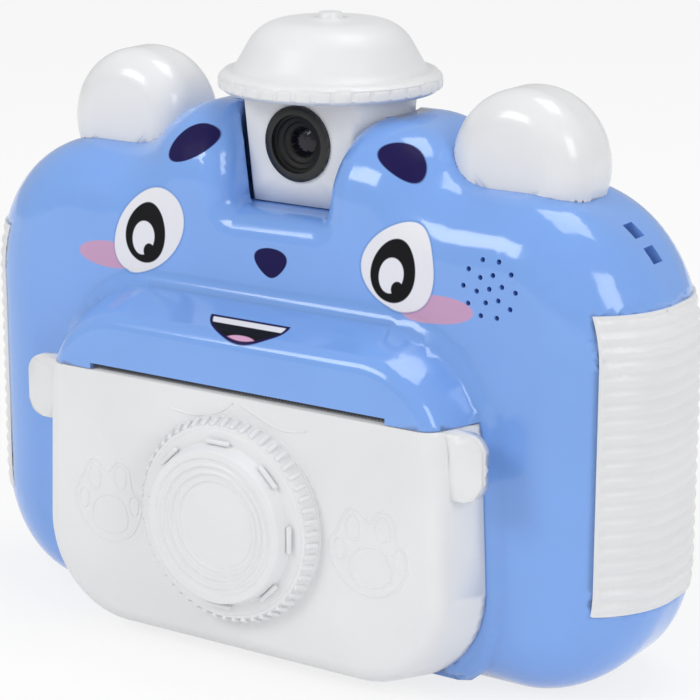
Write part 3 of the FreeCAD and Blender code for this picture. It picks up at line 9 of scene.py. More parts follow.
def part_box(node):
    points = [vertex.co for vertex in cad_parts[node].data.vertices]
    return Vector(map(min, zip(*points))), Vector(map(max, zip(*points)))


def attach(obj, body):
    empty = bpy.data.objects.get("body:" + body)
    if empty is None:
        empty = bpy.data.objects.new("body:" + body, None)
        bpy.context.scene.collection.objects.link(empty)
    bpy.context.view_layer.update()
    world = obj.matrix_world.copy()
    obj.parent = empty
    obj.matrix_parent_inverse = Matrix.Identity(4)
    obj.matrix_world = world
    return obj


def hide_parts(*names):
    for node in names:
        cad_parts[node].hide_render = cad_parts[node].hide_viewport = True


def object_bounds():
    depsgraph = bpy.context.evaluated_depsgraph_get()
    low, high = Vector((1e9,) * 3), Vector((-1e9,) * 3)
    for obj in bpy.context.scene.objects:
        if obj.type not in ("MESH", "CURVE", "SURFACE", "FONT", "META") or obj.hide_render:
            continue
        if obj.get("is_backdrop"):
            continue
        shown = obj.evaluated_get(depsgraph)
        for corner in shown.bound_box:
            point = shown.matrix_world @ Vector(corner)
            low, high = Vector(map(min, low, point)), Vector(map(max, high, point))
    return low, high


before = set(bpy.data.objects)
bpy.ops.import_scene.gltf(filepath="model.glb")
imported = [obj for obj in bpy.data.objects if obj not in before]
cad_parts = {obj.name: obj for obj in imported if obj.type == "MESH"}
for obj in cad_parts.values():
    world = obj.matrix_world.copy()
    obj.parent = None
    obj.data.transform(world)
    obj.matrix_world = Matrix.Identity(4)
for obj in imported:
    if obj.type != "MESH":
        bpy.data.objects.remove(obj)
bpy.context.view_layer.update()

bpy.ops.object.select_all(action="DESELECT")


# ---------------------------------------------------------------- casing
# The casing is two ABS mouldings in glossy sky blue that meet behind the grips.
# The moulds are polished, so the skin is bright and has only a faint ripple; the
# bear's face is printed on the front half by pads before the halves are screwed up.

MM = 0.001


class Wire:
    """One output of a material's node; arithmetic on it adds the Math nodes that work it out."""

    def __init__(self, tree, out):
        self.tree, self.out = tree, out

    def node(self, kind, settings, sockets, take=0):
        """Adds a node, sets it up, then feeds its sockets with values or wires."""
        made = self.tree.nodes.new("ShaderNode" + kind)
        for key, value in settings.items():
            setattr(made, key, value)
        for key, value in sockets.items():
            if isinstance(value, Wire):
                self.tree.links.new(value.out, made.inputs[key])
            else:
                made.inputs[key].default_value = value
        return Wire(self.tree, made.outputs[take])

    def math(self, operation, *values):
        return self.node("Math", {"operation": operation}, dict(enumerate(values)))

    def __add__(self, other): return self.math("ADD", self, other)
    def __radd__(self, other): return self.math("ADD", other, self)
    def __sub__(self, other): return self.math("SUBTRACT", self, other)
    def __rsub__(self, other): return self.math("SUBTRACT", other, self)
    def __mul__(self, other): return self.math("MULTIPLY", self, other)
    def __rmul__(self, other): return self.math("MULTIPLY", other, self)
    def __truediv__(self, other): return self.math("DIVIDE", self, other)
    def __pow__(self, other): return self.math("POWER", self, other)

    def root(self): return self.math("SQRT", self)
    def fract(self): return self.math("FRACT", self)
    def size(self): return self.math("ABSOLUTE", self)
    def least(self, other): return self.math("MINIMUM", self, other)
    def most(self, other): return self.math("MAXIMUM", self, other)

    def ramped(self, low, high):
        """0 below low, 1 above high, and straight between them."""
        return self.node("MapRange", {}, {0: self, 1: low, 2: high})

    def mix(self, under, over):
        """The under colour where this wire is 0, the over colour where it is 1."""
        return self.node("Mix", {"data_type": "RGBA"}, {0: self, 6: under, 7: over}, take=2)

    def inside(self, soft=0.16):
        """1 where this wire, a depth in millimetres inside an outline, is above 0, and 0 outside it."""
        return (self / soft + 0.5).ramped(0.0, 1.0)

    def parts(self):
        """The wire's x, y and z, in millimetres."""
        outs = self.node("SeparateXYZ", {}, {0: self}).out.node.outputs
        return [Wire(self.tree, out) * 1000.0 for out in outs]

    def noise(self, scale, detail=2.0):
        """Cloudy noise from 0 to 1 on the wire's coordinates, with so many lumps to the metre."""
        return self.node("TexNoise", {}, {"Vector": self, "Scale": scale, "Detail": detail})


def material_for(name, **constants):
    """A new material: its shader, with its constant sockets set, and the place on the object as a wire."""
    material = bpy.data.materials.new(name)
    material.use_nodes = True
    tree = material.node_tree
    shader = tree.nodes["Principled BSDF"]
    for socket, value in constants.items():
        shader.inputs[socket.replace("_", " ")].default_value = value
    place = Wire(tree, tree.nodes.new("ShaderNodeTexCoord").outputs["Object"])
    return material, shader, place


def feed(place, shader, **wires):
    """Links wires to the shader's sockets."""
    for socket, wire in wires.items():
        place.tree.links.new(wire.out, shader.inputs[socket.replace("_", " ")])


def bump(place, height, depth, strength=1.0):
    """A normal for a surface whose height wire runs from 0 to 1 over this depth in metres."""
    return place.node("Bump", {}, {"Strength": strength, "Distance": depth, "Height": height})


def shade(colour, factor):
    """A colour made darker or lighter, with its alpha."""
    return tuple(min(1.0, part * factor) for part in colour[:3]) + (1.0,)


INK_ROUGH, INK_SHINE = 0.42, 0.12          # printed ink is duller than the plastic under it


def moulded(name, colour, rough, coat=0.0, ripple=0.02 * MM, texture=None, prints=None):
    """Moulded plastic: a slightly cloudy pigment, a faint ripple or spark texture, and handling marks."""
    material, shader, place = material_for(name, Coat_Weight=coat, Coat_Roughness=0.04, IOR=1.49)
    cloud = place.noise(45.0, 3.0)
    colouring = cloud.ramped(0.3, 0.7).mix(shade(colour, 0.965), shade(colour, 1.03))
    handled = place.noise(160.0, 4.0).ramped(0.45, 0.8)
    roughness = rough + handled * 0.05
    if prints:
        colouring, ink = prints(place, colouring)
        dull = {"Base Color": colouring, "Roughness": INK_ROUGH, "Specular IOR Level": INK_SHINE}
        printed = place.node("BsdfPrincipled", {}, dull)
        mixed = place.node("MixShader", {}, {0: ink, 1: Wire(place.tree, shader.outputs[0]), 2: printed})
        place.tree.links.new(mixed.out, place.tree.nodes["Material Output"].inputs[0])
    feed(place, shader, Base_Color=colouring, Roughness=roughness)
    if texture:
        grain = place.noise(texture, 2.0)
        feed(place, shader, Normal=bump(place, grain, ripple))
    else:
        feed(place, shader, Normal=bump(place, place.noise(120.0, 1.0), ripple, 0.35))
    return material


def moulding(node, body, material, turn=32.0):
    """A copy of a CAD solid's skin, merged and smoothed between its edges, that stands for the solid."""
    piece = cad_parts[node].copy()
    piece.data = piece.data.copy()
    piece.name = piece.data.name = node + "_skin"
    for key in list(piece.keys()):
        del piece[key]
    bpy.context.scene.collection.objects.link(piece)
    piece.parent = None
    bpy.ops.object.select_all(action="DESELECT")
    piece.select_set(True)
    bpy.context.view_layer.objects.active = piece
    bpy.ops.object.mode_set(mode="EDIT")
    bpy.ops.mesh.select_all(action="SELECT")
    bpy.ops.mesh.remove_doubles(threshold=0.001 * MM)
    bpy.ops.object.mode_set(mode="OBJECT")
    bpy.ops.object.shade_smooth_by_angle(angle=math.radians(turn))
    flats = piece.modifiers.new("flats stay flat", "WEIGHTED_NORMAL")
    flats.keep_sharp = True
    flats.weight = 80
    bpy.ops.object.modifier_apply(modifier=flats.name)
    piece.data.materials.clear()
    piece.data.materials.append(material)
    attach(piece, body)
    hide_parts(node)
    return piece


SKY_BLUE = (0.205, 0.402, 0.871, 1.0)
NAVY = (0.012, 0.008, 0.075, 1.0)
INK_BLACK = (0.006, 0.006, 0.008, 1.0)
PRINT_WHITE = (0.83, 0.83, 0.88, 1.0)
BLUSH_PINK = (0.60, 0.36, 0.55, 1.0)
TONGUE_PINK = (0.70, 0.38, 0.60, 1.0)
PRINT_EDGE = 0.16          # how soft the edge of the ink is, in millimetres

# Each egg of the face, in millimetres seen from the front: its middle, its half width and half height, its
# lean in degrees, how much it widens to its top, and how much it bows.
FACE_PLANE = -15.3
CHEEKS = (((-33.2, 64.2), 6.8, 2.3, 0.0), ((31.9, 63.7), 6.8, 2.3, 3.0))
EYES = (((-25.01, 69.27), 5.88, 8.76, -43.8, 0.085), ((25.21, 69.95), 6.58, 7.33, -23.5, -0.261))
IRISES = (((-25.44, 69.04), 4.08, 5.38, -16.5, -0.13), ((23.99, 68.93), 4.08, 5.38, -16.5, -0.13))
SHINES = (((-26.03, 68.01), 2.24, 3.02, -19.0, 0.03), ((23.51, 68.06), 2.24, 3.02, -19.0, 0.03))
DROP, DROP_OFFSET = (1.15, 1.35, -20.0), (1.15, -2.15)
NOSE = ((0.19, 67.03), 3.09, 2.51, 1.2, 0.363)
LEFT_BROW, LEFT_BROW_PLANE = ((-17.35, 84.91), 4.74, 2.66, 24.9, -0.215), -11.6
RIGHT_BROW, RIGHT_BROW_PLANE = ((22.81, 85.74), 4.5, 1.98, -29.2, 0.016, -0.037), -9.4
# a ring of darkened sky blue is painted shade at the edge of each eye white: its width in millimetres, and how
# strong it is
EYE_RIM, EYE_RIM_SHADE_STRENGTH = 0.3, 0.35

# The mouth lies on the slope of the visor above this height, so it is laid out by its depth from the middle.
VISOR_FOOT = 52.0
LIP_DEPTH, LIP_SLANT = 23.25, 0.24
LIPS, LIPS_START = ((0.0, 23.25), 7.9, 5.15), 23.2
INSIDE, INSIDE_START = ((0.0, 23.55), 7.2, 4.45), 23.7
TEETH_END = 25.2
TONGUE = ((1.1, 28.3), 3.2, 1.1)


def egg(across, up, centre, wide, high, lean=0.0, taper=0.0, bow=0.0):
    """1 inside an egg, 0 outside it: half sizes, lean in degrees, narrower or wider to its top, bowed."""
    turn = math.radians(lean)
    x, z = across - centre[0], up - centre[1]
    u = x * math.cos(turn) + z * math.sin(turn)
    w = z * math.cos(turn) - x * math.sin(turn)
    if bow:
        w = w - u * u * bow
    ring = ((u / (w * (taper * wide / high) + wide)) ** 2.0 + (w / high) ** 2.0).root()
    return ((1.0 - ring) * (min(wide, high) / PRINT_EDGE) + 0.5).ramped(0.0, 1.0)


def bear_face(place, under):
    """The printed face: eyes, brows, nose, mouth and cheeks, with a ring of painted shade round each eye
    white.
    """
    x, y, z = place.parts()
    front = (FACE_PLANE - y).ramped(0.0, 0.3)
    colour, ink = under, None
    for cheek in CHEEKS:
        blush = egg(x, z, *cheek) * front
        colour = blush.mix(colour, BLUSH_PINK)
        ink = blush if ink is None else ink.most(blush)
    for eye, iris, shine in zip(EYES, IRISES, SHINES):
        centre, wide, high, lean, taper = eye
        white = egg(x, z, *eye) * front
        # painted shade: a thin ring of darkened blue round the eye white, drawn with the ink's duller skin
        painted_rim_shade = egg(x, z, centre, wide + EYE_RIM, high + EYE_RIM, lean, taper) * front
        colour = (painted_rim_shade * EYE_RIM_SHADE_STRENGTH).mix(colour, shade(SKY_BLUE, 0.45))
        colour = white.mix(colour, PRINT_WHITE)
        colour = (egg(x, z, *iris) * front).mix(colour, INK_BLACK)
        colour = (egg(x, z, *shine) * front).mix(colour, PRINT_WHITE)
        drop = (shine[0][0] + DROP_OFFSET[0], shine[0][1] + DROP_OFFSET[1])
        colour = (egg(x, z, drop, *DROP) * front).mix(colour, INK_BLACK)
        ink = ink.most(painted_rim_shade)
    nose = egg(x, z, *NOSE) * front
    left_brow = egg(x, z, *LEFT_BROW) * (LEFT_BROW_PLANE - y).ramped(0.0, 0.3)
    right_brow = egg(x, z, *RIGHT_BROW) * (RIGHT_BROW_PLANE - y).ramped(0.0, 0.3)
    dark = nose.most(left_brow).most(right_brow)
    colour = dark.mix(colour, NAVY)
    ink = ink.most(dark)
    deep = y * -1.0
    slid = x - (deep - LIP_DEPTH) * LIP_SLANT
    visor = (z - VISOR_FOOT).ramped(0.0, 0.5)
    lips = egg(slid, deep, *LIPS) * (deep - LIPS_START).ramped(0.0, 0.2) * visor
    inside = egg(slid, deep, *INSIDE) * (deep - INSIDE_START).ramped(0.0, 0.2) * visor
    teeth = inside * (TEETH_END - deep).ramped(0.0, 0.2)
    tongue = egg(x, deep, *TONGUE) * inside
    colour = lips.mix(colour, NAVY)
    colour = inside.mix(colour, INK_BLACK)
    colour = teeth.mix(colour, PRINT_WHITE)
    colour = tongue.mix(colour, TONGUE_PINK)
    return colour, ink.most(lips)


blue_gloss = moulded("sky_blue_gloss", SKY_BLUE, 0.13, coat=0.4)
printed_gloss = moulded("sky_blue_printed", SKY_BLUE, 0.13, coat=0.4, prints=bear_face)
front_shell = moulding("front_shell", "casing", printed_gloss)
moulding("rear_shell", "casing", blue_gloss)

FACES_FRONT = -0.25        # a face whose normal's y is below this is on the front of the casing


def calm_cheek(piece, margin):
    """Shades the skin between the speaker's holes just as the plain cheek on the other side is shaded."""
    low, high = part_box("speaker_gasket")
    skin = piece.data
    now = [normal.vector.copy() for normal in skin.corner_normals]
    wanted = list(now)
    for face in skin.polygons:
        spot = face.center
        beside = low.x - margin < spot.x < high.x + margin and low.z - margin < spot.z < high.z + margin
        if not beside or face.normal.y > FACES_FRONT:
            continue
        for corner in face.loop_indices:
            place_on = skin.vertices[skin.loops[corner].vertex_index].co
            _, near, _, found = piece.closest_point_on_mesh((-place_on.x, place_on.y, place_on.z))
            other = skin.polygons[found]
            weights = poly_3d_calc([skin.vertices[k].co for k in other.vertices], near)
            normal = Vector()
            for weight, k in zip(weights, other.loop_indices):
                normal += now[k] * weight
            wanted[corner] = Vector((-normal.x, normal.y, normal.z)).normalized()
    skin.normals_split_custom_set(wanted)


calm_cheek(front_shell, 1.4 * MM)


# ---------------------------------------------------------------- ears
# Each ear is a hollow ABS shell in gloss white, a fat disc with round edges.
# It is pushed into a seat on the shoulder of the casing and cemented there.

MILK_WHITE = (0.83, 0.835, 0.845, 1.0)
white_gloss = moulded("milk_white_gloss", MILK_WHITE, 0.20, coat=0.15)
moulding("left_ear", "casing", white_gloss)
moulding("right_ear", "casing", white_gloss)


# ---------------------------------------------------------------- grips
# A white ABS cover is let into each side of the casing, ribbed across so that
# small hands hold it. The ribs are rolls side by side, with narrow valleys.

RIBS = 21
VALLEY_DEPTH = 0.44 * MM
FLATTEN = 1.2              # the skin is cleared of folds slighter than this, in degrees
white_satin = moulded("milk_white_satin", MILK_WHITE, 0.34, ripple=0.015 * MM, texture=1800.0)


def ribbed(piece, side):
    """Cuts the cover across at each rib and valley, and swells the outer skin between the valleys."""
    low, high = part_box(("left" if side < 0 else "right") + "_grip")
    pitch = (high.z - low.z) / RIBS
    bpy.ops.object.select_all(action="DESELECT")
    piece.select_set(True)
    bpy.context.view_layer.objects.active = piece
    bpy.ops.object.mode_set(mode="EDIT")
    bpy.ops.mesh.select_all(action="SELECT")
    bpy.ops.mesh.dissolve_limited(angle_limit=math.radians(FLATTEN))
    for row in range(1, RIBS * 4):
        bpy.ops.mesh.select_all(action="SELECT")
        bpy.ops.mesh.bisect(plane_co=(0, 0, low.z + row * pitch / 4), plane_no=(0, 0, 1))
    bpy.ops.object.mode_set(mode="OBJECT")
    skin = piece.data
    outer, border = set(), set()
    for face in skin.polygons:
        on_skin = face.normal.x * side > 0.25
        (outer if on_skin else border).update(face.vertices)
    outer -= border
    outward = [vertex.normal.copy() for vertex in skin.vertices]
    for vertex in skin.vertices:
        if vertex.index in outer:
            swell = math.sin(math.pi * (vertex.co.z - low.z) / pitch) ** 2
            vertex.co -= outward[vertex.index] * VALLEY_DEPTH * (1.0 - swell)
    bpy.ops.object.shade_smooth_by_angle(angle=math.radians(50))


for side, node in ((-1, "left_grip"), (1, "right_grip")):
    ribbed(moulding(node, "casing", white_satin), side)


# ---------------------------------------------------------------- paper door
# The door is one white ABS moulding with a satin skin: a bowl with two finger
# tabs, raised bear paws and a collar line, hung on steel pins at its foot.

moulding("paper_door", "door", white_satin, turn=52.0)
DOOR_FACE = -28.8 * MM


def raised_bead(name, points, thick, closed=False):
    """A raised line on the door's face, as wide as it is thick on either side of the face."""
    curve = bpy.data.curves.new(name, "CURVE")
    curve.dimensions = "3D"
    curve.bevel_depth = thick
    curve.bevel_resolution = 3
    curve.resolution_u = 8
    line = curve.splines.new("NURBS")
    line.points.add(len(points) - 1)
    for spot, (x, z) in zip(line.points, points):
        spot.co = (x * MM, DOOR_FACE + thick * 0.45, z * MM, 1.0)
    line.order_u = 3
    line.use_cyclic_u = closed
    line.use_endpoint_u = not closed
    piece = bpy.data.objects.new(name, curve)
    bpy.context.scene.collection.objects.link(piece)
    bpy.ops.object.select_all(action="DESELECT")
    piece.select_set(True)
    bpy.context.view_layer.objects.active = piece
    bpy.ops.object.convert(target="MESH")
    piece = bpy.context.object
    bpy.ops.object.shade_smooth()
    piece.data.materials.append(white_satin)
    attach(piece, "door")


BEAD = 0.26 * MM
PAW = ((-8.0, 1.5), (-6.9, 2.5), (-5.9, 4.4), (-5.0, 6.5), (-3.4, 7.4), (-1.6, 6.2), (-0.5, 4.9), (0.6, 6.6),
       (2.2, 7.7), (3.9, 7.0), (4.6, 4.6), (4.8, 2.6), (6.3, 2.0), (7.0, 0.2), (6.5, -2.4), (4.6, -5.4),
       (1.4, -7.0), (-2.2, -7.1), (-5.4, -5.4), (-7.6, -2.5))
TOES = ((-3.5, 4.0, 1.45, 2.3), (2.2, 4.6, 1.45, 2.3), (-6.0, 0.0, 1.15, 1.9), (5.2, 0.1, 1.15, 1.9))
PAD = ((-4.4, -3.2), (-3.9, -0.6), (-1.7, 1.0), (0.4, 1.3), (2.6, 0.6), (3.9, -1.8), (3.6, -4.4), (0.2, -5.8),
       (-3.2, -5.4))
PAWS = (("left", (-25.6, 24.2), 0.94), ("right", (27.2, 25.2), 1.0))     # name, middle, how wide it is
for name, middle, spread in PAWS:
    spots = [(middle[0] + x * spread, middle[1] + z) for x, z in PAW]
    raised_bead(name + "_paw_outline", spots, BEAD, closed=True)
    spots = [(middle[0] + x * spread, middle[1] + z) for x, z in PAD]
    raised_bead(name + "_paw_pad", spots, BEAD * 0.8, closed=True)
    for toe, (x, z, wide, high) in enumerate(TOES):
        turns = [k * math.pi / 4 for k in range(8)]
        ring = [(middle[0] + (x + wide * math.cos(turn)) * spread, middle[1] + z + high * math.sin(turn))
                for turn in turns]
        raised_bead(f"{name}_paw_toe_{toe}", ring, BEAD * 0.8, closed=True)
# the collar line falls in two arcs that meet in a point under the mouth
raised_bead("collar_left", ((-12.7, 43.0), (-9.3, 42.4), (-5.2, 42.9), (-1.6, 44.2), (0.2, 45.8)), BEAD)
raised_bead("collar_right", ((1.7, 45.8), (4.2, 44.8), (8.1, 43.1), (11.4, 42.7), (14.6, 43.5)), BEAD)


# ---------------------------------------------------------------- ring on the door
# A round of white ABS made to look like a camera's lens: a knurled foot, a
# stepped shoulder and three rings round a plain disc. It is welded on the door.

ring_low, ring_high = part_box("door_ring")
RING_MIDDLE = Vector((0.0, 0.0, (ring_low.z + ring_high.z) / 2))
RING_SIDES = 96
FACES_AHEAD = -0.9         # only the cylinder's front end has a normal whose y is below this


def turned_face(name, radius, back, depth, steps, body, material):
    """A round turned towards the front: a cylinder whose front face is inset and pushed, step by step."""
    bpy.ops.object.select_all(action="DESELECT")
    bpy.ops.mesh.primitive_cylinder_add(
        vertices=RING_SIDES, radius=radius * MM, depth=depth * MM,
        location=(RING_MIDDLE.x, (back - depth / 2) * MM, RING_MIDDLE.z), rotation=(math.pi / 2, 0, 0))
    piece = bpy.context.object
    piece.name = piece.data.name = name
    bpy.ops.object.transform_apply(location=True, rotation=True, scale=True)
    bpy.ops.object.mode_set(mode="EDIT")
    bpy.ops.mesh.select_all(action="DESELECT")
    bpy.ops.object.mode_set(mode="OBJECT")
    for face in piece.data.polygons:
        face.select = face.normal.y < FACES_AHEAD
    bpy.ops.object.mode_set(mode="EDIT")
    bpy.ops.mesh.select_mode(type="FACE")
    for inward, forward in steps:
        bpy.ops.mesh.inset(thickness=inward * MM)
        bpy.ops.transform.translate(value=(0, -forward * MM, 0))
    bpy.ops.object.mode_set(mode="OBJECT")
    bevel = piece.modifiers.new("soft edges", "BEVEL")
    bevel.width = 0.22 * MM
    bevel.segments = 3
    bevel.limit_method = "ANGLE"
    bevel.angle_limit = math.radians(28)
    bpy.ops.object.modifier_apply(modifier=bevel.name)
    bpy.ops.object.shade_smooth_by_angle(angle=math.radians(40))
    piece.data.materials.append(material)
    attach(piece, body)
    return piece


RING_STEPS = (              # each step inwards, and how far forward it then goes, in millimetres
    (0.15, 0.0), (1.05, 2.5), (0.5, 0.0), (0.25, 0.35), (1.8, 0.05), (0.35, 1.1), (0.35, 1.25), (0.2, 0.2),
    (1.15, 0.0), (0.3, -0.35), (0.55, -0.1), (0.3, 0.2), (0.25, 0.0), (0.3, -0.45), (0.5, -0.1),
    (0.3, 0.2), (0.25, 0.0), (0.3, -0.45), (0.5, -0.1), (0.3, 0.15), (0.25, 0.0), (0.3, -0.35), (0.4, 0.0))
RING_RADIUS, RING_BACK, RING_FOOT = 17.5, -28.65, 0.64
door_ring = turned_face("door_ring_turned", RING_RADIUS, RING_BACK, RING_FOOT, RING_STEPS, "door", white_satin)
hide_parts("door_ring")


def soft_block(size, rounding, lean):
    """A small block with rounded edges, tipped back by the lean in degrees, its middle at the origin."""
    bpy.ops.object.select_all(action="DESELECT")
    bpy.ops.mesh.primitive_cube_add(size=MM, location=(0, 0, 0))
    block = bpy.context.object
    block.scale = size
    bpy.ops.object.transform_apply(location=False, rotation=False, scale=True)
    bevel = block.modifiers.new("round", "BEVEL")
    bevel.width = rounding * MM
    bevel.segments = 2
    bpy.ops.object.modifier_apply(modifier=bevel.name)
    bpy.ops.object.shade_smooth()
    block.rotation_euler = (math.radians(lean), 0, 0)
    bpy.ops.object.transform_apply(location=False, rotation=True, scale=False)
    return block


def ring_of(name, block, count, out, centre, axis, body):
    """Copies the block round the axis, so far out from the centre, and joins the copies in one piece."""
    copies = []
    for place_on in range(count):
        copy = block.copy()
        copy.data = block.data.copy()
        bpy.context.scene.collection.objects.link(copy)
        turn = Matrix.Rotation(2 * math.pi * place_on / count, 4, axis)
        copy.data.transform(Matrix.Translation(centre) @ turn @ Matrix.Translation(out))
        copies.append(copy)
    bpy.data.objects.remove(block)
    bpy.ops.object.select_all(action="DESELECT")
    for copy in copies:
        copy.select_set(True)
    bpy.context.view_layer.objects.active = copies[0]
    bpy.ops.object.join()
    piece = bpy.context.object
    piece.name = piece.data.name = name
    piece.data.materials.append(white_satin)
    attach(piece, body)


KNURLS, THUMB_PADS = 54, 8
ring_of("ring_knurls", soft_block((0.85, 2.3, 0.8), 0.24, 26), KNURLS, Vector((0, -30.75, 16.95)) * MM,
        RING_MIDDLE, "Y", "door")
ring_of("ring_thumb_pads", soft_block((4.6, 0.8, 0.8), 0.3, 10), THUMB_PADS, Vector((0, -32.9, 14.0)) * MM,
        RING_MIDDLE, "Y", "door")


# ---------------------------------------------------------------- turret
# The turret is a cup that turns half round in the casing and carries the lens.
# A domed lid with a scalloped brim is snapped on it, so that it looks like a jar.

moulding("turret_cup", "turret", white_satin)
moulding("turret_lid", "turret", white_satin)
SCALLOPS, BRIM_RADIUS, BRIM_RISE = 36, 18.42, 1.35
brim_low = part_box("turret_lid")[0]
ring_of("lid_scallops", soft_block((0.6, 2.6, 1.7), 0.28, 0), SCALLOPS,
        Vector((BRIM_RADIUS * MM, 0, brim_low.z + BRIM_RISE * MM)), Vector(), "Z", "turret")


# ---------------------------------------------------------------- tear blade
# A thin toothed strip of ABS is pressed into a seat under the visor, and drawn black as
# painted shadow of the slot it sits in. The printed paper comes out over it and is torn off against its teeth.

black_satin = moulded("black_satin", (0.012, 0.012, 0.013, 1.0), 0.32, ripple=0.01 * MM, texture=2500.0)
# painted shadow: the blade is drawn black for the shade in its slot
moulding("tear_blade", "casing", black_satin, turn=20.0)


# ---------------------------------------------------------------- lens
# A small coated lens sits deep in a black barrel with a stepped bezel. The barrel
# is painted matt inside, so that no stray light comes back from it; the barrel and the lens are
# drawn darker still, as painted shade deep in the hole.

# painted shade: the lens glass is drawn near black and opaque, and the barrel darker than black paint, for the
# shade deep in the hole
LENS_DARK, LENS_VIOLET = (0.004, 0.005, 0.012, 1.0), (0.010, 0.008, 0.02, 1.0)
black_matt_and_painted_shade = moulded("black_matt_and_painted_shade", (0.0025, 0.0025, 0.0025, 1.0), 0.6, ripple=0.01 * MM, texture=2500.0)
moulding("lens_bezel", "turret", black_satin)
moulding("lens_barrel", "turret", black_matt_and_painted_shade)
coated, shader, place = material_for("coated_lens", IOR=1.45)
feed(place, shader, Base_Color=place.noise(300.0).mix(LENS_DARK, LENS_VIOLET),
     Roughness=place.noise(500.0) * 0.03 + 0.04)
moulding("lens_glass", "turret", coated)


# ---------------------------------------------------------------- hinge pins and turret clip
# Two short lengths of bright steel wire run through the casing's lugs and the
# door's knuckles. A black acetal clip under the pocket's floor holds the turret down.

STEEL = (0.56, 0.56, 0.57, 1.0)


def metal(name, colour, rough, grain=(900.0, 900.0, 900.0), stain=0.9, prints=None):
    """Bare or plated metal: a fine grain drawn along one way, and dull patches from handling."""
    material, shader, place = material_for(name, Metallic=1.0)
    drawn = place.node("Mapping", {}, {"Vector": place, "Scale": grain}).noise(1.0, 3.0)
    dull = place.noise(110.0, 3.0).ramped(0.42, 0.75)
    colouring = dull.mix(colour, shade(colour, stain))
    if prints:
        colouring, ink = prints(place, colouring)
        feed(place, shader, Metallic=1.0 - ink)
    feed(place, shader, Base_Color=colouring, Roughness=rough + drawn * 0.14 + dull * 0.08,
         Normal=bump(place, drawn, 0.003 * MM))
    return material


bright_wire = metal("bright_steel_wire", STEEL, 0.16, grain=(120.0, 2500.0, 2500.0))
moulding("door_hinge_pins", "casing", bright_wire)
black_acetal = moulded("black_acetal", (0.014, 0.014, 0.016, 1.0), 0.42, ripple=0.012 * MM, texture=1600.0)
moulding("turret_clip", "turret", black_acetal)


# ---------------------------------------------------------------- sensor block
# The picture sensor sits in a moulded block behind the lens, and turns with it.
# Its back is a bit of gold-plated circuit board.

CONTACT_PITCH, CONTACT_HALF = 1.1, 0.22


def sensor_back(place, under):
    """Gold contacts in rows over the black of the block."""
    x, y, z = place.parts()
    lane_x, lane_z = (x / CONTACT_PITCH).fract() - 0.5, (z / CONTACT_PITCH).fract() - 0.5
    contact = (CONTACT_HALF - lane_x.size().most(lane_z.size())).inside(0.05) * (y + 0.3).inside()
    return contact.mix(under, (0.62, 0.45, 0.16, 1.0)), contact


moulding("camera_module", "turret", moulded("sensor_block_black", (0.010, 0.010, 0.011, 1.0), 0.45,
                                            ripple=0.01 * MM, texture=2200.0, prints=sensor_back))


# ---------------------------------------------------------------- paper bay
# A white ABS cradle in the casing's foot holds the loose roll. The paper is wound
# on a brown board tube, and its windings show as fine rings on the roll's ends.

PAPER_WHITE = (0.80, 0.80, 0.785, 1.0)
BOARD_BROWN = (0.42, 0.27, 0.15, 1.0)
roll_low, roll_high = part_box("paper_roll")
ROLL_MIDDLE = (roll_low + roll_high) / 2 / MM
ROLL_END = roll_high.x / MM - 0.1
WINDING = 0.42             # the rings that show on the roll's ends, in millimetres
SEAM_PITCH, PLY = 19.0, 0.4


def round_the_roll(place):
    """How far out from the roll's axis a place is, its turn about it, 1 on the roll's ends, and its x."""
    x, y, z = place.parts()
    out, up = y - ROLL_MIDDLE.y, z - ROLL_MIDDLE.z
    turn = up.math("ARCTAN2", up, out) / (2 * math.pi)
    return (out * out + up * up).root(), turn, (x.size() - ROLL_END).inside(0.05), x


material, shader, place = material_for("thermal_paper_wound", IOR=1.45)
radius, turn, on_end, x = round_the_roll(place)
winding = ((radius + turn * WINDING) / WINDING).fract().ramped(0.55, 0.95) * on_end
fibres = place.noise(900.0, 4.0)
aged = (place.noise(40.0, 2.0).ramped(0.35, 0.8) * 0.5).mix(PAPER_WHITE, shade(PAPER_WHITE, 0.94))
feed(place, shader, Base_Color=(winding * 0.55).mix(aged, (0.52, 0.52, 0.50, 1.0)),
     Roughness=fibres * 0.15 + 0.48,
     Normal=bump(place, fibres * 0.3 + winding, 0.03 * MM))
moulding("paper_roll", "roll", material)

material, shader, place = material_for("brown_board_tube", IOR=1.45)
radius, turn, on_end, x = round_the_roll(place)
seam = ((x / SEAM_PITCH + turn).fract() - 0.5).size().ramped(0.02, 0.035)
fibres = place.noise(700.0, 5.0)
ply = (radius / PLY).fract().ramped(0.6, 0.9) * on_end
tube = fibres.ramped(0.3, 0.7).mix(shade(BOARD_BROWN, 0.82), shade(BOARD_BROWN, 1.12))
feed(place, shader, Base_Color=((1.0 - seam) * 0.6).most(ply * 0.5).mix(tube, shade(BOARD_BROWN, 0.45)),
     Roughness=fibres * 0.1 + 0.8, Normal=bump(place, fibres, 0.05 * MM))
moulding("paper_core", "roll", material)
moulding("paper_cradle", "casing", moulded("cradle_white", (0.66, 0.67, 0.68, 1.0), 0.45, ripple=0.012 * MM,
                                           texture=1500.0))


# ---------------------------------------------------------------- printer
# A black glass-filled frame is screwed under the visor. It carries a ceramic
# print head on an aluminium plate, pressed by two leaf springs on the roller.

glass_filled = moulded("glass_filled_black", (0.016, 0.016, 0.018, 1.0), 0.5, ripple=0.02 * MM, texture=1300.0)
moulding("printer_frame", "casing", glass_filled)


def heater_line(place, under):
    """The glazed heater line across the ceramic, and the gold tracks that feed it from above."""
    x, _, z = place.parts()
    line = (0.35 - (z - ROLLER_HEIGHT).size()).inside(0.08)
    track = (((x / 0.5).fract() - 0.5).size() - 0.28).inside(0.06) * (z - ROLLER_HEIGHT - 0.5).inside()
    colour = (track * 0.7).mix(under, (0.55, 0.42, 0.20, 1.0))
    return line.mix(colour, (0.05, 0.025, 0.015, 1.0)), line


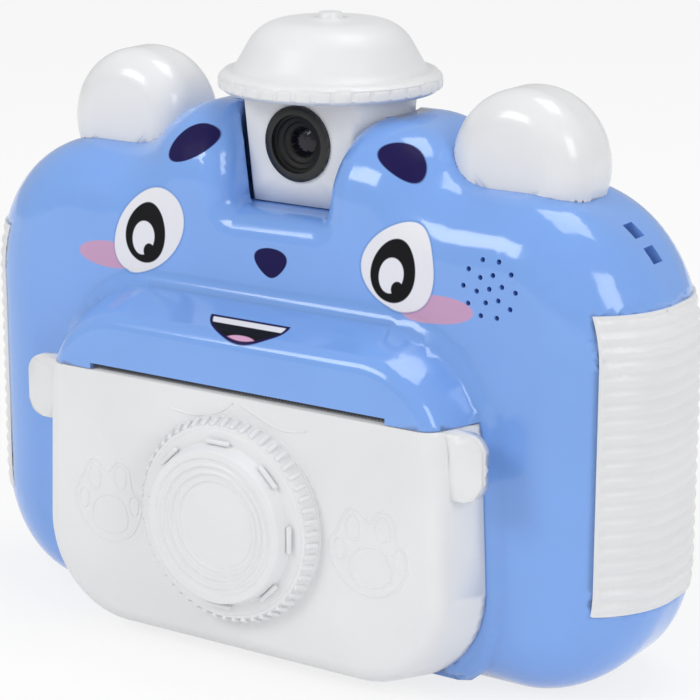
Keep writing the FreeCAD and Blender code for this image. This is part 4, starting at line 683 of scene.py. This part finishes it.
roller_low, roller_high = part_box("platen_roller")
ROLLER_HEIGHT = (roller_low.z + roller_high.z) / 2 / MM
ceramic = moulded("fired_ceramic", (0.70, 0.68, 0.62, 1.0), 0.3, ripple=0.006 * MM, texture=2600.0,
                  prints=heater_line)
moulding("print_head", "casing", ceramic)
moulding("heat_sink", "casing", metal("rolled_aluminium", (0.66, 0.66, 0.67, 1.0), 0.28,
                                      grain=(90.0, 2200.0, 2200.0)))
moulding("head_springs", "casing", metal("blued_spring_steel", (0.34, 0.35, 0.38, 1.0), 0.24,
                                         grain=(200.0, 1800.0, 1800.0)))


# ---------------------------------------------------------------- roller and gears
# The roller is silicone rubber ground round on a steel shaft, and moves the paper.
# A small stepper drives it through a brass pinion and two gears moulded in acetal.

rubber_black = moulded("ground_rubber", (0.018, 0.018, 0.019, 1.0), 0.72, ripple=0.02 * MM, texture=2400.0)
moulding("platen_roller", "platen", rubber_black)
moulding("platen_shaft", "platen", metal("ground_steel", STEEL, 0.14, grain=(300.0, 3000.0, 3000.0)))
acetal = moulded("natural_acetal", (0.74, 0.74, 0.70, 1.0), 0.38, ripple=0.008 * MM, texture=1400.0)
moulding("platen_gear", "platen", acetal, turn=24.0)
moulding("idler_gear", "idler", acetal, turn=24.0)
moulding("motor_pinion", "pinion", metal("turned_brass", (0.66, 0.47, 0.17, 1.0), 0.22,
                                         grain=(3000.0, 300.0, 300.0)), turn=24.0)


def can_seam(place, under):
    """The dark line where the two pressed halves of the motor's can meet."""
    x = place.parts()[0]
    line = (0.12 - (x - CAN_MIDDLE).size()).inside(0.05)
    return line.mix(under, (0.05, 0.05, 0.05, 1.0)), line


can_low, can_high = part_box("stepper_motor")
CAN_MIDDLE = (can_low.x + can_high.x) / 2 / MM
moulding("stepper_motor", "casing", metal("zinc_plated_can", (0.52, 0.53, 0.54, 1.0), 0.3, prints=can_seam))


# ---------------------------------------------------------------- screws
# Small pan-head screws for plastics, zinc plated, hold the casing's halves, the
# printer's frame and the circuit board.

zinc_plated = metal("zinc_plated_steel", (0.50, 0.51, 0.54, 1.0), 0.26)
for node in ("case_screws", "printer_screws", "board_screws"):
    moulding(node, "casing", zinc_plated, turn=28.0)


# ---------------------------------------------------------------- circuit board and battery
# The main board is green glass-fibre laminate with copper tracks under the lacquer.
# The battery is a flat pouch of silvery foil, closed at its top by amber tape.

LACQUER_GREEN = (0.012, 0.105, 0.040, 1.0)
TRACK_GREEN = (0.030, 0.200, 0.075, 1.0)
TIN = (0.60, 0.58, 0.52, 1.0)
TRACK_PITCH, PAD_PITCH = 0.9, 2.54

material, shader, place = material_for("lacquered_laminate", Coat_Weight=0.3, IOR=1.5)
x, _, z = place.parts()
district = place.noise(95.0, 0.0)
lanes = [(((way / TRACK_PITCH).fract() - 0.5).size() - 0.30).inside(0.08) for way in (x, z)]
upright = district.ramped(0.49, 0.51)
tracks = lanes[0] * upright + lanes[1] * (1.0 - upright)
grid = [(way / PAD_PITCH).fract() - 0.5 for way in (x, z)]
dot = (0.26 - (grid[0] * grid[0] + grid[1] * grid[1]).root()).inside(0.06)
dot = dot * place.noise(60.0, 0.0).ramped(0.54, 0.56)
laminate = tracks.mix(LACQUER_GREEN, TRACK_GREEN)
feed(place, shader, Base_Color=dot.mix(laminate, TIN), Metallic=dot, Roughness=place.noise(300.0) * 0.1 + 0.28,
     Normal=bump(place, tracks, 0.02 * MM))
moulding("main_board", "casing", material)

TAPE_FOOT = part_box("battery")[1].z / MM - 6.5
material, shader, place = material_for("pouch_foil", IOR=1.5)
z = place.parts()[2]
tape = (z - TAPE_FOOT).inside()
crumple = place.noise(170.0, 3.0)
foil = crumple.ramped(0.35, 0.7).mix((0.52, 0.53, 0.55, 1.0), (0.64, 0.65, 0.67, 1.0))
feed(place, shader, Base_Color=tape.mix(foil, (0.42, 0.20, 0.035, 1.0)), Metallic=1.0 - tape,
     Roughness=crumple * 0.15 + 0.25, Normal=bump(place, crumple, 0.12 * MM))
moulding("battery", "casing", material)


# ---------------------------------------------------------------- screen
# A clear hard-coated window is stuck in the back, painted black behind its border.
# The panel behind it is dark when the camera is off, in a thin steel frame.

WINDOW_BORDER = 3.0
window_low, window_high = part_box("screen_window")
WINDOW_MIDDLE = (window_low + window_high) / 2 / MM
WINDOW_HALF = (window_high - window_low) / 2 / MM


def within_window(place, border):
    """1 where a place lies inside the window's border, 0 on the border."""
    x, _, z = place.parts()
    depth_x = (WINDOW_HALF.x - border) - (x - WINDOW_MIDDLE.x).size()
    depth_z = (WINDOW_HALF.z - border) - (z - WINDOW_MIDDLE.z).size()
    return depth_x.least(depth_z).inside()


material, shader, place = material_for("hard_coated_window", Coat_Weight=0.5, Coat_Roughness=0.02, IOR=1.49)
clear = within_window(place, WINDOW_BORDER)
smears = place.noise(70.0, 4.0).ramped(0.5, 0.85)
feed(place, shader, Base_Color=clear.mix((0.004, 0.004, 0.005, 1.0), (0.010, 0.012, 0.018, 1.0)),
     Roughness=smears * 0.06 + 0.05, Alpha=1.0 - clear * 0.6)
moulding("screen_window", "casing", material)

material, shader, place = material_for("panel_off", IOR=1.5)
lit_area = within_window(place, WINDOW_BORDER - 0.6)
feed(place, shader, Base_Color=lit_area.mix((0.45, 0.45, 0.46, 1.0), (0.010, 0.013, 0.022, 1.0)),
     Metallic=1.0 - lit_area, Roughness=place.noise(250.0, 3.0) * 0.1 + 0.18)
moulding("screen_module", "casing", material)


# ---------------------------------------------------------------- keys
# Eight hard white caps stand through the back on a grey silicone mat, whose domes
# push them back. Each cap bears a plain mark, printed in dark blue.

KEY_INK = (0.020, 0.045, 0.16, 1.0)
ARROW_FOOT, ARROW_TIP, ARROW_SLOPE = -1.2, 1.6, 0.62


def arrow_mark(across, up, way):
    """A triangle that points the given way."""
    along = across * way[0] + up * way[1]
    beside = across * way[1] - up * way[0]
    return ((ARROW_TIP - along) * ARROW_SLOPE - beside.size()).least(along - ARROW_FOOT)


def ring_mark(across, up, radius, width):
    """A thin ring."""
    return width / 2 - ((across * across + up * up).root() - radius).size()


def power_mark(across, up):
    """A ring open at its top, with a bar in the opening."""
    bar = (0.24 - across.size()).least(1.0 - (up - 1.3).size())
    opening = (0.75 - across.size()).least(up)
    return ring_mark(across, up, 1.75, 0.46).least(opening * -1.0).most(bar)


def bin_mark(across, up):
    """A bin with its lid."""
    tub = (1.15 - across.size()).least(1.35 - (up + 0.45).size())
    hollow = (0.75 - across.size()).least(1.0 - (up + 0.4).size())
    lid = (1.6 - across.size()).least(0.2 - (up - 1.4).size())
    return tub.least(hollow * -1.0).most(lid)


def marked_cap(node, mark):
    """A glossy cap with its mark, laid out from the cap's own middle, as seen from behind the camera."""
    low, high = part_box(node)
    middle = (low + high) / 2 / MM

    def prints(place, under):
        x, y, z = place.parts()
        ink = mark(middle.x - x, z - middle.z).inside(0.1) * (y - (high.y / MM - 0.8)).inside()
        return ink.mix(under, KEY_INK), ink

    cap = moulded(node + "_gloss", MILK_WHITE, 0.22, coat=0.15, prints=prints)
    moulding(node, node.replace("_button", "_key"), cap)


hub_low, hub_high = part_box("shutter_button")
for node in ("up_button", "down_button", "left_button", "right_button"):
    key_low, key_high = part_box(node)
    apart = key_low + key_high - hub_low - hub_high
    way = Vector((-apart.x, apart.z)).normalized()
    marked_cap(node, lambda across, up, way=way: arrow_mark(across, up, (round(way.x), round(way.y))))
marked_cap("shutter_button", lambda across, up: ring_mark(across, up, 3.1, 0.7))
marked_cap("power_button", power_mark)
marked_cap("mode_button",
           lambda across, up: arrow_mark(across, up, (1, 0)).most(ring_mark(across, up, 2.7, 0.4)))
marked_cap("delete_button", bin_mark)
grey_silicone = moulded("grey_silicone", (0.16, 0.165, 0.175, 1.0), 0.62, ripple=0.015 * MM, texture=1700.0)
moulding("key_mat", "casing", grey_silicone)


# ---------------------------------------------------------------- sockets and their cover
# The charging and card sockets are pressed steel shells on the board. A soft flap
# in the casing's blue covers them, and bends open on its own thin end.

nickel = metal("nickel_plated_shell", (0.60, 0.59, 0.56, 1.0), 0.22, grain=(400.0, 1600.0, 1600.0))
moulding("usb_socket", "casing", nickel)
moulding("card_socket", "casing", nickel)
blue_rubber = moulded("sky_blue_rubber", shade(SKY_BLUE, 0.96), 0.5, ripple=0.015 * MM, texture=1500.0)
moulding("port_cover", "flap", blue_rubber)


# ---------------------------------------------------------------- speaker
# A round speaker sits behind the fine holes in the cheek, on a ring of foam. Its
# paper cone is pressed with rings, in a black plastic frame over the magnet.

speaker_low, speaker_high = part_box("speaker")
SPEAKER_MIDDLE = (speaker_low + speaker_high) / 2 / MM
CONE_RADIUS, CONE_RING = 6.6, 1.3
material, shader, place = material_for("pressed_paper_cone", IOR=1.45)
x, _, z = place.parts()
reach = ((x - SPEAKER_MIDDLE.x) ** 2.0 + (z - SPEAKER_MIDDLE.z) ** 2.0).root()
rings = reach.math("PINGPONG", reach, CONE_RING / 2)
cone = (CONE_RADIUS - reach).inside()
pulp = place.noise(900.0, 4.0)
feed(place, shader, Base_Color=cone.mix((0.010, 0.010, 0.011, 1.0), (0.030, 0.028, 0.026, 1.0)),
     Roughness=pulp * 0.2 + 0.5, Normal=bump(place, rings * cone + pulp * 0.1, 0.25 * MM))
moulding("speaker", "casing", material)
black_foam = moulded("black_foam", (0.012, 0.012, 0.012, 1.0), 0.9, ripple=0.12 * MM, texture=1900.0)
moulding("speaker_gasket", "casing", black_foam)


# ---------------------------------------------------------------- studio
# A plain pale sweep that shows white to the camera and in gloss and glass, but
# keeps the object's shadow. Soft boxes stand at both sides and above.

FLOOR_WHITE, FLOOR_GREY = (0.95, 0.95, 0.95, 1.0), (0.93, 0.93, 0.93, 1.0)
FLOOR_GLOW = 0.8
SKY_LIGHT, SKY_SEEN = 0.5, 0.5
material, shader, place = material_for("studio_floor", Roughness=0.95)
feed(place, shader, Base_Color=place.noise(2.0).mix(FLOOR_GREY, FLOOR_WHITE))
rays = place.node("LightPath", {}, {}).out.node.outputs
seen = Wire(place.tree, rays["Is Camera Ray"]).most(Wire(place.tree, rays["Is Glossy Ray"]))
seen = seen.most(Wire(place.tree, rays["Is Transmission Ray"]))
glow = place.node("Emission", {}, {})
floor_shader = Wire(place.tree, shader.outputs[0])
mixed = place.node("MixShader", {}, {0: seen * FLOOR_GLOW, 1: floor_shader, 2: glow})
place.tree.links.new(mixed.out, place.tree.nodes["Material Output"].inputs[0])
bpy.ops.object.select_all(action="DESELECT")
bpy.ops.mesh.primitive_plane_add(size=8.0, location=(0, 0, 0))
floor = bpy.context.object
floor.name = "studio_floor"
floor.data.materials.append(material)
floor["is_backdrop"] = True

world = bpy.data.worlds.new("studio")
bpy.context.scene.world = world
world.use_nodes = True
background = world.node_tree.nodes["Background"]
sky = Wire(world.node_tree, background.outputs[0])
rays = sky.node("LightPath", {}, {}).out.node.outputs
direct = Wire(world.node_tree, rays["Is Camera Ray"]).most(Wire(world.node_tree, rays["Is Transmission Ray"]))
background.inputs[0].default_value = (1, 1, 1, 1)
world.node_tree.links.new((direct * SKY_SEEN + SKY_LIGHT).out, background.inputs[1])

# each soft box: where it stands and how wide and high it is, in metres, and its watts
SOFT_BOXES = (("key_box", (-0.45, -0.9, 0.75), 0.55, 0.4, 4.0),
              ("fill_box", (0.95, -0.35, 0.55), 0.4, 0.5, 2.6),
              ("top_box", (0.15, 0.2, 0.95), 0.5, 0.4, 2.2))
AIM = Vector((0, 0, 0.05))
for name, place_at, wide, high, watts in SOFT_BOXES:
    lamp = bpy.data.lights.new(name, "AREA")
    lamp.shape = "RECTANGLE"
    lamp.size, lamp.size_y = wide, high
    lamp.energy = watts
    soft_box = bpy.data.objects.new(name, lamp)
    soft_box.location = place_at
    soft_box.rotation_euler = (AIM - Vector(place_at)).to_track_quat("-Z", "Y").to_euler()
    bpy.context.scene.collection.objects.link(soft_box)

AZIMUTH, ELEVATION = math.radians(33.77), math.radians(15.35)
STANDOFF, SIGHT = 0.4381, Vector((0.0003, 0, 0.0472))
away = Vector((math.sin(AZIMUTH) * math.cos(ELEVATION), -math.cos(AZIMUTH) * math.cos(ELEVATION),
               math.sin(ELEVATION)))
lens = bpy.data.cameras.new("camera")
lens.sensor_width = 36.0
lens.lens = 131.7343
lens.shift_x, lens.shift_y = 0.02571, 0.00886
lens.clip_start = 0.01
camera = bpy.data.objects.new("camera", lens)
camera.location = SIGHT + away * STANDOFF
camera.rotation_euler = away.to_track_quat("Z", "Y").to_euler()
bpy.context.scene.collection.objects.link(camera)
bpy.context.scene.camera = camera
bpy.context.scene.view_settings.view_transform = "Standard"

low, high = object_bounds()
